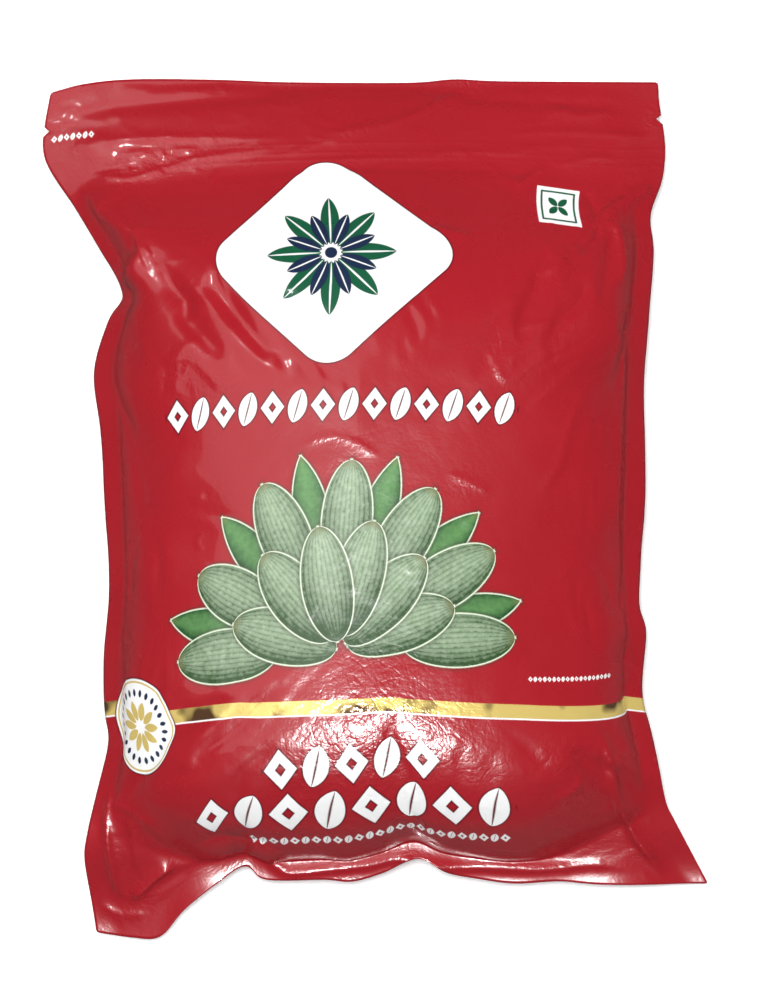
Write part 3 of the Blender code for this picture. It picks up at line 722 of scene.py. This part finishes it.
# an output in a shader that can be reckoned with
class Value:
    __add__ = step("ADD")
    __sub__ = step("SUBTRACT")
    __rsub__ = step("SUBTRACT", swapped=True)
    __mul__ = step("MULTIPLY")
    __truediv__ = step("DIVIDE")
    __pow__ = step("POWER")
    __abs__ = step("ABSOLUTE")

    def __init__(self, socket):
        self.socket = socket
        self.tree = socket.id_data


def treeOf(values):
    return next(value.tree for value in values if isinstance(value, Value))


def outputsOf(node):
    return {socket.name: Value(socket) for socket in node.outputs}


def connect(node, values):
    for key, value in values.items():
        if isinstance(value, Value):
            value.tree.links.new(value.socket, node.inputs[key])
        else:
            node.inputs[key].default_value = value


def place(kind, values=None, out=0, tree=None, **settings):
    values = values or {}
    node = (tree or treeOf(values.values())).nodes.new("ShaderNode" + kind)
    for key, value in settings.items():
        setattr(node, key, value)
    connect(node, values)
    return Value(node.outputs[out])


def maths(operation, *values):
    return place("Math", dict(enumerate(values)), operation=operation)


def vectors(operation, *values):
    out = "Value" if operation in ("LENGTH", "DOT_PRODUCT") else "Vector"
    return place("VectorMath", dict(enumerate(values)), out, operation=operation)


# the x, y and z of a vector; dot products keep the order of the nodes, and with it the shader's memory small
def partsOf(vector):
    return [vectors("DOT_PRODUCT", vector, axis) for axis in ((1, 0, 0), (0, 1, 0), (0, 0, 1))]


def joined(x, y):
    return place("CombineXYZ", {0: x, 1: y, 2: 0.0})


# noise over the flat film, in cells to each mm
def filmNoise(tree, scale, out="Fac", **values):
    flat = place("UVMap", tree=tree, uv_map="UVMap")
    sized = place("Mapping", {"Vector": flat, "Scale": (bag["width"], bag["length"], 1)})
    return place("TexNoise", {"Vector": sized, "Scale": scale, **values}, out)


def paintOver(below, colour, mask):
    return place("Mix", {0: mask, 6: below, 7: colour}, 2, data_type="RGBA")


# 1 inside a shape and 0 outside, from the distance to its edge in mm
def maskOf(distance, soft=0.16):
    return place("MapRange", {"Value": distance, "From Min": soft, "From Max": -soft})


def radiusFrom(point, centre):
    return vectors("LENGTH", (point - centre) * (1, 1, 0))


def ringAt(radius, size, half):
    return abs(radius - size) - half


def turned(given):
    moved = given["Point"] - given["Centre"]
    return place("VectorRotate", {"Vector": moved, "Angle": given["Turn"] * -1.0}, rotation_type="Z_AXIS")


socketKinds = {"Point": "Vector", "Centre": "Vector", "Half": "Vector", "Below": "Color", "Light": "Color",
               "Dark": "Color", "Colour": "Color"}


# a node group with these inputs and outputs; gives the inputs, and the node that takes the outputs
def newGroup(name, inputs, outputs):
    tree = bpy.data.node_groups.new(name, "ShaderNodeTree")
    for way, labels in (("INPUT", inputs), ("OUTPUT", outputs)):
        for label in labels.split():
            kind = "NodeSocket" + socketKinds.get(label, "Float")
            tree.interface.new_socket(label, in_out=way, socket_type=kind)
    return outputsOf(tree.nodes.new("NodeGroupInput")), tree.nodes.new("NodeGroupOutput")


def finishGroup(made, **values):
    connect(made, {key.capitalize(): value for key, value in values.items()})
    return made.id_data


def useGroup(group, **values):
    node = treeOf(values.values()).nodes.new("ShaderNodeGroup")
    node.node_tree = group
    connect(node, {key.capitalize(): value for key, value in values.items()})
    return outputsOf(node)


def makeRoundedBox():
    given, made = newGroup("rounded box", "Point Centre Half Turn Corner", "Distance")
    local = abs(turned(given))
    corner = joined(given["Corner"], given["Corner"])
    flat = (local - given["Half"] + corner) * (1, 1, 0)
    outside = vectors("LENGTH", vectors("MAXIMUM", flat, (0, 0, 0)))
    x, y, _ = partsOf(flat)
    inside = maths("MINIMUM", maths("MAXIMUM", x, y), 0.0)
    return finishGroup(made, distance=outside + inside - given["Corner"])


# a pointed shape such as a pod, a leaf or a petal; along and across run from -1 to 1
def makeSpindle():
    given, made = newGroup("spindle", "Point Centre Turn Length Width Blunt", "Distance Along Across")
    x, y, _ = partsOf(turned(given))
    along = x / given["Length"]
    room = maths("MAXIMUM", 1.0 - along * along, 0.0)
    wide = maths("MAXIMUM", given["Width"] * room ** given["Blunt"], ornament["thinnest"])
    beside = abs(y) - wide
    past = abs(x) - given["Length"]
    return finishGroup(made, distance=maths("MAXIMUM", beside, past), along=along, across=y / wide)


# like petals round a centre
def makeRosette():
    given, made = newGroup("rosette", "Point Centre Turn Petals Inner Outer Width", "Distance Across")
    x, y, _ = partsOf(turned(given))
    angle = maths("ARCTAN2", y, x)
    half = maths("DIVIDE", math.pi, given["Petals"])
    folded = maths("WRAP", angle, half, half * -1.0)
    radius = vectors("LENGTH", joined(x, y))
    point = joined(radius * maths("COSINE", folded), radius * maths("SINE", folded))
    middle = (given["Inner"] + given["Outer"]) * 0.5
    reach = (given["Outer"] - given["Inner"]) * 0.5
    petal = useGroup(spindleShape, point=point, centre=joined(middle, 0.0), turn=0.0, length=reach,
                     width=given["Width"], blunt=ornament["petalBlunt"])
    return finishGroup(made, distance=petal["Distance"], across=petal["Across"])


ornament = {                     # shares of a cell of a row, or of half its height
    "thinnest": 0.01,            # mm
    "petalBlunt": 0.75, "leafBlunt": 0.7, "leafTurn": 74, "leafLength": 1.04, "leafWidth": 0.36,
    "vein": (3.2, 0.26), "wide": 0.47, "ring": (0.67, 0.33), "steep": 0.8,
}


# lozenges and leaves in turn, in a row of Count cells, Half wide and high
def makeOrnamentRow():
    given, made = newGroup("ornament row", "Point Centre Half Count Turn", "Distance")
    run, y, _ = partsOf(turned(given))
    half = partsOf(given["Half"])
    cell = half[0] * 2.0 / given["Count"]
    start = run + half[0]
    number = maths("FLOOR", start / cell)
    x = start - (number + 0.5) * cell
    odd = maths("MODULO", number, 2.0)
    wide = cell * ornament["wide"]
    rhomb = abs(x) / wide + abs(y) / half[1]
    lozenge = ringAt(rhomb, *ornament["ring"]) * (wide * ornament["steep"])
    leaf = useGroup(spindleShape, point=joined(x, y), centre=(0, 0, 0), blunt=ornament["leafBlunt"],
                    turn=math.radians(ornament["leafTurn"]), length=half[1] * ornament["leafLength"],
                    width=cell * ornament["leafWidth"])
    thin, vein = ornament["vein"]
    leafy = maths("MAXIMUM", leaf["Distance"], vein - abs(leaf["Across"] * thin))
    shape = place("Mix", {0: odd, 2: lozenge, 3: leafy}, data_type="FLOAT")
    return finishGroup(made, distance=maths("MAXIMUM", shape, abs(run) - half[0]))


podLook = {                      # shares of light, and mm from the edge with how soft
    "wander": 0.12, "ribPower": 0.45, "ribs": 0.42, "upper": 0.17, "sides": -0.46, "endPower": 3.0,
    "ends": -0.30, "grain": 0.9, "base": 0.20,
    "tip": (0.84, 0.98), "tipColour": (0.16, 0.15, 0.05, 1), "tipShare": 0.7,
    "rim": (0.55, 0.25), "rimColour": (0.72, 0.80, 0.62, 1),
    "shadow": (1.4, 0.9), "shadowColour": (0.03, 0.03, 0.02, 1), "shadowShare": 0.55,
}


# one painted pod or leaf over what lies below it, lighter on its upper side
def makePodPaint():
    given, made = newGroup("painted pod", "Point Grain Below Centre Turn Length Width Blunt Ribs Light Dark",
                           "Colour")
    shape = useGroup(spindleShape, **{key: given[key] for key in
                                      ("Point", "Centre", "Turn", "Length", "Width", "Blunt")})
    wander = given["Grain"] - 0.5
    across = shape["Across"] + wander * podLook["wander"]
    ribs = abs(maths("COSINE", across * given["Ribs"])) ** podLook["ribPower"] * podLook["ribs"]
    offset = partsOf(given["Point"] - given["Centre"])
    upper = offset[1] / given["Width"] * podLook["upper"]
    sides = shape["Across"] * shape["Across"] * podLook["sides"]
    ends = abs(shape["Along"]) ** podLook["endPower"] * podLook["ends"]
    shade = (ribs + sides) + (ends + upper) + wander * podLook["grain"]
    shade = place("Clamp", {"Value": shade + podLook["base"]})
    body = paintOver(given["Dark"], given["Light"], shade)
    low, high = podLook["tip"]
    tip = place("MapRange", {"Value": shape["Along"], "From Min": low, "From Max": high})
    body = paintOver(body, podLook["tipColour"], tip * podLook["tipShare"])
    out, soft = podLook["rim"]
    rim = maskOf(shape["Distance"] - out, soft)
    out, soft = podLook["shadow"]
    shadow = maskOf(shape["Distance"] - out, soft)
    colour = paintOver(given["Below"], podLook["shadowColour"], shadow * podLook["shadowShare"])
    colour = paintOver(colour, podLook["rimColour"], rim)
    return finishGroup(made, colour=paintOver(colour, body, maskOf(shape["Distance"])))


boxShape = makeRoundedBox()
spindleShape = makeSpindle()
rosetteShape = makeRosette()
rowShape = makeOrnamentRow()
podPaint = makePodPaint()


def boxAt(point, middle, half, corner, turn=0.0):
    return useGroup(boxShape, point=point, centre=(*middle, 0), half=(*half, 0), turn=turn,
                    corner=corner)["Distance"]


def petalsAt(point, middle, turn, count, inner, outer, width):
    return useGroup(rosetteShape, point=point, centre=(*middle, 0), turn=turn, petals=count, inner=inner,
                    outer=outer, width=width)


def rowAt(point, row):
    return useGroup(rowShape, point=point, centre=(*row["at"], 0), half=(*row["half"], 0),
                    count=row["count"], turn=math.radians(row["turn"]))["Distance"]


ink = {
    "red": (0.385, 0.011, 0.019, 1),
    "redDeep": (0.325, 0.009, 0.015, 1),
    "maroon": (0.11, 0.003, 0.009, 1),
    "white": (0.90, 0.90, 0.89, 1),
    "navy": (0.012, 0.024, 0.062, 1),
    "green": (0.008, 0.095, 0.042, 1),
    "podLight": (0.42, 0.54, 0.36, 1),
    "podDark": (0.030, 0.075, 0.022, 1),
    "leafLight": (0.13, 0.30, 0.10, 1),
    "leafDark": (0.018, 0.080, 0.022, 1),
    "gold": (0.95, 0.72, 0.22, 1),
    # painted reflection: the dark brown of the foil band where it would mirror dark surroundings
    "goldReflectionDark": (0.13, 0.065, 0.03, 1),
}

# In mm on the flat film, from its lower left corner. An edge is a dark line: how far out, and how soft.
# Petals are how many, from where to where, and how wide.
frontPrint = {
    "cloud": 0.012,              # cells of its slow change of red in each mm
    "rowEdge": (0.6, 0.35), "edgeFrom": 3,   # rows higher than this have an edge
    "diamond": {"at": (108.5, 266), "half": 39.0, "corner": 13.0, "squash": 0.92, "edge": (0.6, 0.3),
                "petals": ((0, "green", (8, 4, 27, 4.0)), (22.5, "navy", (8, 4, 20, 3.0))),
                "vein": (0.10, 0.05), "eye": 2.6},
    "patch": {"at": (207, 292), "half": 9.2, "turn": -4, "corner": 0.3, "petals": (4, 0.3, 5.6, 1.5),
              "insets": ((0.0, "white"), (1.7, "green"), (2.6, "white"))},
    "rowTop": {"at": (112, 204), "half": (73, 6.2), "count": 14, "turn": -0.2},
    "rowMiddle": {"at": (118.5, 65), "half": (35, 8.4), "count": 5, "turn": 1.0},
    "rowLow": {"at": (117, 45.5), "half": (64, 8.8), "count": 8, "turn": 0.6},
    "rowFoot": {"at": (126, 30.0), "half": (51, 2.4), "count": 25, "turn": 0.4},
    "rowSmall": {"at": (210, 98.5), "half": (19, 1.0), "count": 19, "turn": 0.0},
    "rowNotch": {"at": (11, 330), "half": (8, 1.4), "count": 7, "turn": 0.0},
    # in the band, painted reflections: noise turns its foil from gold to dark brown in stretches, with its
    # thresholds and the noise's cells in each mm
    "band": {"at": 92.2, "half": 2.7, "line": 0.35, "slope": 0.035,
             "paintedReflections": (0.40, 0.47), "paintedReflectionScale": 0.045},
    "badge": {"at": (23.5, 87.5), "radius": 18.2, "edge": (0.6, 0.3), "ring": (1.2, 0.35),
              "petals": (10, 2.4, 9.8, 1.6), "beads": (24, 11.4, 14.4, 0.85), "beadTurn": 0.1},
    "fan": {"at": (117, 110), "grain": 0.45,
            "leaves": ((16, 53), (-14, 54), (46, 53), (-44, 52), (75, 52), (-77, 54)),
            "leaf": (23, 7.0, 0.9, 1.6),
            "outer": ((86, 47), (-89, 48), (58, 50), (-62, 48), (31, 49), (-28, 51), (2, 50)),
            "inner": ((70, 26), (-74, 24), (44, 26), (-41, 28), (15, 28), (-12, 26)),
            "pod": (22.5, 10.2, 0.55, 16.0)},
}


# a row of white ornaments, the larger ones with a thin dark line round each
def paintRow(point, colour, key):
    row = frontPrint[key]
    shape = rowAt(point, row)
    if row["half"][1] > frontPrint["edgeFrom"]:
        out, soft = frontPrint["rowEdge"]
        colour = paintOver(colour, ink["maroon"], maskOf(shape - out, soft))
    return paintOver(colour, ink["white"], maskOf(shape))


# pods in two tiers that spread like a fan from one place, with leaves between them
def paintFan(point, colour):
    fan = frontPrint["fan"]
    x, y = fan["at"]
    grain = filmNoise(point.tree, fan["grain"], Detail=3.0, Roughness=0.6)
    for tier, kind in (("leaves", "leaf"), ("outer", "pod"), ("inner", "pod")):
        length, width, blunt, ribs = fan[kind]
        for turn, reach in fan[tier]:
            angle = math.radians(90 - turn)
            centre = (x + math.cos(angle) * reach, y + math.sin(angle) * reach, 0)
            colour = useGroup(podPaint, point=point, grain=grain, below=colour, centre=centre, turn=angle,
                              length=length, width=width, blunt=blunt, ribs=ribs,
                              light=ink[kind + "Light"], dark=ink[kind + "Dark"])["Colour"]
    return colour


def paintGround(tree):
    return paintOver(ink["red"], ink["redDeep"], filmNoise(tree, frontPrint["cloud"], Detail=2.0))


def paintDiamond(point, colour):
    diamond = frontPrint["diamond"]
    x, y = diamond["at"]
    squashed = point * (1, 1 / diamond["squash"], 1)
    shape = boxAt(squashed, (x, y / diamond["squash"]), (diamond["half"], diamond["half"]),
                  diamond["corner"], math.radians(45))
    out, soft = diamond["edge"]
    colour = paintOver(colour, ink["maroon"], maskOf(shape - out, soft))
    colour = paintOver(colour, ink["white"], maskOf(shape))
    thin, soft = diamond["vein"]
    for turn, paint, petals in diamond["petals"]:
        petal = petalsAt(point, (x, y), math.radians(turn), *petals)
        colour = paintOver(colour, ink[paint], maskOf(petal["Distance"]))
        vein = abs(petal["Across"]) - thin
        colour = paintOver(colour, ink["white"], maskOf(maths("MAXIMUM", vein, petal["Distance"]), soft))
    radius = radiusFrom(point, (x, y, 0))
    return paintOver(colour, ink["navy"], maskOf(radius - diamond["eye"]))


def paintPatch(point, colour):
    patch = frontPrint["patch"]
    turn = math.radians(patch["turn"])
    shape = boxAt(point, patch["at"], (patch["half"], patch["half"]), patch["corner"], turn)
    for inset, paint in patch["insets"]:
        colour = paintOver(colour, ink[paint], maskOf(shape + inset))
    petal = petalsAt(point, patch["at"], turn + math.radians(45), *patch["petals"])
    return paintOver(colour, ink["green"], maskOf(petal["Distance"]))


# the foil band and the thin white line under it, with painted reflections in the foil: dark and bright
# stretches of its colour; gives the colour and where the foil is
def paintBand(point, colour):
    band = frontPrint["band"]
    y = vectors("DOT_PRODUCT", point, (band["slope"], 1, 0))
    line = ringAt(y, band["at"] - band["half"] - band["line"], band["line"])
    colour = paintOver(colour, ink["white"], maskOf(line))
    foil = maskOf(ringAt(y, band["at"], band["half"]))
    # painted reflection: noise turns the foil's colour from gold to dark brown in stretches
    low, high = band["paintedReflections"]
    paintedReflections = filmNoise(point.tree, band["paintedReflectionScale"], Detail=2.0)
    light = place("MapRange", {"Value": paintedReflections, "From Min": low, "From Max": high})
    return paintOver(colour, paintOver(ink["goldReflectionDark"], ink["gold"], light), foil), foil


def paintBadge(point, colour, foil):
    badge = frontPrint["badge"]
    radius = radiusFrom(point, (*badge["at"], 0))
    disc = maskOf(radius - badge["radius"])
    out, soft = badge["edge"]
    shade = maskOf(radius - (badge["radius"] + out), soft)
    colour = paintOver(colour, ink["maroon"], shade)
    colour = paintOver(colour, ink["white"], disc)
    inset, half = badge["ring"]
    ring = maskOf(ringAt(radius, badge["radius"] - inset, half))
    petal = petalsAt(point, badge["at"], 0.0, *badge["petals"])
    golden = maths("MAXIMUM", ring, maskOf(petal["Distance"]))
    colour = paintOver(colour, ink["gold"], golden)
    beads = petalsAt(point, badge["at"], badge["beadTurn"], *badge["beads"])
    colour = paintOver(colour, ink["navy"], maskOf(beads["Distance"]))
    return colour, maths("MAXIMUM", foil * (1.0 - shade), golden)


# Each part of the front print has a material of its own, so that no place works out all of it;
# left, low, right and high in mm on the flat film
frontParts = {
    "ground": (),
    "emblem": ((54, 210, 163, 322),),
    "fan": ((36, 97, 198, 192),),
    "rows": ((34, 192, 190, 216), (45, 0, 190, 97)),
    "trim": ((0, 60, 43, 108), (195, 278, 222, 306), (188, 96, 232, 102), (0, 326, 24, 334)),
}
rowsIn = {"rows": ("rowTop", "rowMiddle", "rowLow", "rowFoot"), "trim": ("rowSmall", "rowNotch")}


def makeFrontPrint(part):
    given, made = newGroup("front print " + part, "Point", "Colour Foil")
    point = given["Point"]
    colour, foil = paintBand(point, paintGround(point.tree))
    if part == "emblem":
        colour = paintDiamond(point, colour)
    if part == "fan":
        colour = paintFan(point, colour)
    for key in rowsIn.get(part, ()):
        colour = paintRow(point, colour, key)
    if part == "trim":
        colour = paintPatch(point, colour)
        colour, foil = paintBadge(point, colour, foil)
    return finishGroup(made, colour=colour, foil=foil)


backPrint = {
    "panel": {"at": (125, 192), "half": (82, 72), "corner": 8.0,
              "insets": ((0.0, "white"), (3.0, "green"), (3.6, "white"))},
    "row": {"at": (125, 44.5), "half": (63, 8.0), "count": 9, "turn": 0.0},
}


# the side that the photograph hides: the same red and band, a blank white panel and ornaments
def makeBackPrint():
    given, made = newGroup("back print", "Point", "Colour Foil")
    point = given["Point"]
    colour = paintGround(point.tree)
    panel = backPrint["panel"]
    x, y = panel["half"]
    for inset, paint in panel["insets"]:
        shape = boxAt(point, panel["at"], (x - inset, y - inset), panel["corner"] - inset)
        colour = paintOver(colour, ink[paint], maskOf(shape))
    colour = paintOver(colour, ink["white"], maskOf(rowAt(point, backPrint["row"])))
    colour, foil = paintBand(point, colour)
    return finishGroup(made, colour=colour, foil=foil)


crinkle = {
    "facet": 0.19, "facetHeight": 0.50, "facetEdge": 0.14,   # cells in each mm, mm, share of a cell
    "wander": 0.06, "wanderReach": 12,
    "mottle": 0.46, "mottleHeight": 0.34, "mottleRest": 0.030,
    "peel": 0.9, "peelHeight": 0.018,
    "zipLines": (320.6, 316.4, 313.4), "zipHeight": 0.06, "zipWidth": 0.8,
}


# small relief of the laminate in mm: fine crumpling where the film has it, and the zip's lines
def makeCrinkle():
    given, made = newGroup("film crinkle", "Point Crumple", "Height")
    point, tree = given["Point"], given["Point"].tree
    wander = filmNoise(tree, crinkle["wander"], "Color", Detail=1.0)
    bent = point + vectors("MULTIPLY", wander, (crinkle["wanderReach"], crinkle["wanderReach"], 0))
    facets = place("TexVoronoi", {"Vector": bent, "Scale": crinkle["facet"], "Randomness": 1.0}, "Distance",
                   feature="DISTANCE_TO_EDGE", voronoi_dimensions="2D")
    folds = maths("MINIMUM", facets, crinkle["facetEdge"])
    folds = folds * (given["Crumple"] * crinkle["facetHeight"])
    mottle = filmNoise(tree, crinkle["mottle"], Detail=2.0, Roughness=0.6)
    deep = given["Crumple"] * crinkle["mottleHeight"] + crinkle["mottleRest"]
    peel = filmNoise(tree, crinkle["peel"], Detail=1.0)
    height = folds + mottle * deep
    height = height + peel * crinkle["peelHeight"]
    _, y, _ = partsOf(point)
    for line in crinkle["zipLines"]:
        off = (y - line) / crinkle["zipWidth"]
        height = height + maths("EXPONENT", off * off * -1.0) * crinkle["zipHeight"]
    return finishGroup(made, height=height)


def newMaterial(name):
    material = bpy.data.materials.new(name)
    material.use_nodes = True
    return material, material.node_tree, material.node_tree.nodes["Principled BSDF"]


gloss = {"rubScale": 0.03, "rub": 0.16, "rough": 0.20, "foilSmooth": 0.08, "foilMetal": 0.4,
         "coat": 0.5, "coatRough": 0.05, "refraction": 1.45}


# gloss laminate: ink under a clear skin, with foil where the print says so
def filmMaterial(name, printed):
    material, tree, shader = newMaterial(name)
    point = place("UVMap", tree=tree, uv_map="UVMap") * (bag["width"], bag["length"], 0)
    inks = useGroup(printed, point=point)
    crumple = place("Attribute", None, "Fac", tree, attribute_name="crumple", attribute_type="GEOMETRY")
    skin = useGroup(reliefShape, point=point, crumple=crumple)
    bump = place("Bump", {"Height": skin["Height"], "Distance": mm, "Strength": 1.0})
    rough = filmNoise(tree, gloss["rubScale"], Detail=3.0) * gloss["rub"] + gloss["rough"]
    connect(shader, {"Roughness": rough - inks["Foil"] * gloss["foilSmooth"], "Base Color": inks["Colour"],
                     "Metallic": inks["Foil"] * gloss["foilMetal"], "Normal": bump,
                     "Coat Weight": gloss["coat"], "Coat Roughness": gloss["coatRough"],
                     "IOR": gloss["refraction"]})
    return material


innerLook = {                    # noise cells to each metre, along and across the ribs or draw lines
    "husk": (1400, 160, 1400), "spots": 90.0, "spotColour": (0.42, 0.36, 0.17, 1), "spotShare": 0.4,
    "huskDepth": 0.4, "huskRough": 0.8,
    "zip": (30, 2400, 2400), "zipDark": (0.70, 0.71, 0.70, 1), "zipPale": (0.84, 0.84, 0.82, 1),
    "zipVaried": 0.2, "zipRough": 0.3, "zipClear": 0.15,
}


def stretchedNoise(where, stretch, detail):
    long = place("Mapping", {"Vector": where, "Scale": stretch})
    return place("TexNoise", {"Vector": long, "Scale": 1.0, "Detail": detail}, "Fac")


# dried pods: fine ribs along the bag, with painted shade in their grooves and painted light on their crests,
# and pale where they rub
def huskMaterial():
    material, tree, shader = newMaterial("pod husk")
    where = place("TexCoord", None, "Object", tree)
    ribs = stretchedNoise(where, innerLook["husk"], 4.0)
    spots = place("TexNoise", {"Vector": where, "Scale": innerLook["spots"], "Detail": 3.0}, "Fac")
    # painted shade and light: the colour follows the ribs' bump, dark green in the grooves and pale green on
    # the crests
    colour = paintOver(ink["podDark"], ink["podLight"], ribs)
    colour = paintOver(colour, innerLook["spotColour"], spots * innerLook["spotShare"])
    bump = place("Bump", {"Height": ribs, "Distance": innerLook["huskDepth"] * mm, "Strength": 1.0})
    connect(shader, {"Base Color": colour, "Normal": bump, "Roughness": innerLook["huskRough"]})
    return material


# milky extruded plastic with faint draw lines
def zipMaterial():
    material, tree, shader = newMaterial("zip plastic")
    lines = stretchedNoise(place("TexCoord", None, "Object", tree), innerLook["zip"], 2.0)
    connect(shader, {"Base Color": paintOver(innerLook["zipDark"], innerLook["zipPale"], lines),
                     "Roughness": lines * innerLook["zipVaried"] + innerLook["zipRough"],
                     "Transmission Weight": innerLook["zipClear"]})
    return material


reliefShape = makeCrinkle()
frontMaterials = [filmMaterial("printed film " + part, makeFrontPrint(part)) for part in frontParts]
backMaterial = filmMaterial("printed film back", makeBackPrint())
print("film materials made")


# The two films

panels = {}
for side, name in ((1, "pouch_front"), (-1, "pouch_back")):
    panel, places = layFilm(name, side)
    places = settleFilm(panel, places, side)
    writePlaces(panel.data, places * mm)
    panels[side] = panel
    print(name, "laid and settled")
keepApart(panels)
finishFilm(panels[1], 1, "film_front", frontMaterials, frontParts)
finishFilm(panels[-1], -1, "film_back", [backMaterial], {"ground": ()})


# What lies inside keeps its own mesh

husk, zipPlastic = huskMaterial(), zipMaterial()
inside = {"cardamom_pods": husk, "zip_rib_strip": zipPlastic, "zip_groove_strip": zipPlastic}
for node, material in inside.items():
    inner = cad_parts[node]
    inner.data.materials.clear()
    inner.data.materials.append(material)
print("inner pieces finished")


# Pale floor and soft studio light, both darker where the film mirrors them, as round a flash

studio = {
    "floorSize": 6.0, "floorColour": (0.96, 0.96, 0.96, 1), "floorGlow": (0.22, 0.22, 0.22, 1),
    "floorMirrored": (0.05, 0.045, 0.045, 1), "floorRough": 0.9,
    "sky": (0.22, 0.224, 0.235, 1), "skyMirrored": (0.035, 0.035, 0.04, 1),
    "lights": (                  # place and size in metres, watts, and whether it is only mirrored
        ((-0.06, 0.12, 1.35), 0.35, 19.0, False),
        ((-0.9, 1.0, 1.5), 0.6, 2.5, False),
        ((1.0, 0.5, 1.5), 0.5, 2.5, False),
        ((0.02, -0.47, 1.26), 0.05, 32.0, True),
        ((-0.5, 0.75, 1.4), 0.05, 0.9, True),
        ((-0.7, 0.3, 1.5), 1.6, 7.0, True),
    ),
}


def makeStudio():
    deselectAll()
    bpy.ops.mesh.primitive_plane_add(size=studio["floorSize"], location=(0, 0, 0))
    floor = bpy.context.object
    floor.name = "floor"
    paper, tree, shader = newMaterial("paper")
    rays = outputsOf(tree.nodes.new("ShaderNodeLightPath"))
    colour = paintOver(studio["floorColour"], studio["floorMirrored"], rays["Is Glossy Ray"])
    connect(shader, {"Base Color": colour, "Roughness": studio["floorRough"],
                     "Emission Color": studio["floorGlow"], "Emission Strength": rays["Is Camera Ray"]})
    floor.data.materials.append(paper)
    for where, size, watts, onlyMirrored in studio["lights"]:
        data = bpy.data.lights.new("softbox", "AREA")
        data.shape = "DISK"
        data.size = size
        data.energy = watts
        lamp = bpy.data.objects.new("softbox", data)
        lamp.location = where
        lamp.visible_glossy = onlyMirrored
        lamp.visible_diffuse = not onlyMirrored
        lamp.rotation_euler = (-Vector(where)).to_track_quat("-Z", "Y").to_euler()
        bpy.context.scene.collection.objects.link(lamp)
    world = bpy.data.worlds.new("studio")
    world.use_nodes = True
    glossy = place("LightPath", None, "Is Glossy Ray", world.node_tree)
    colour = paintOver(studio["sky"], studio["skyMirrored"], glossy)
    connect(world.node_tree.nodes["Background"], {"Color": colour})
    bpy.context.scene.world = world
    bpy.context.scene.view_settings.view_transform = "Standard"


makeStudio()
print("studio lit")
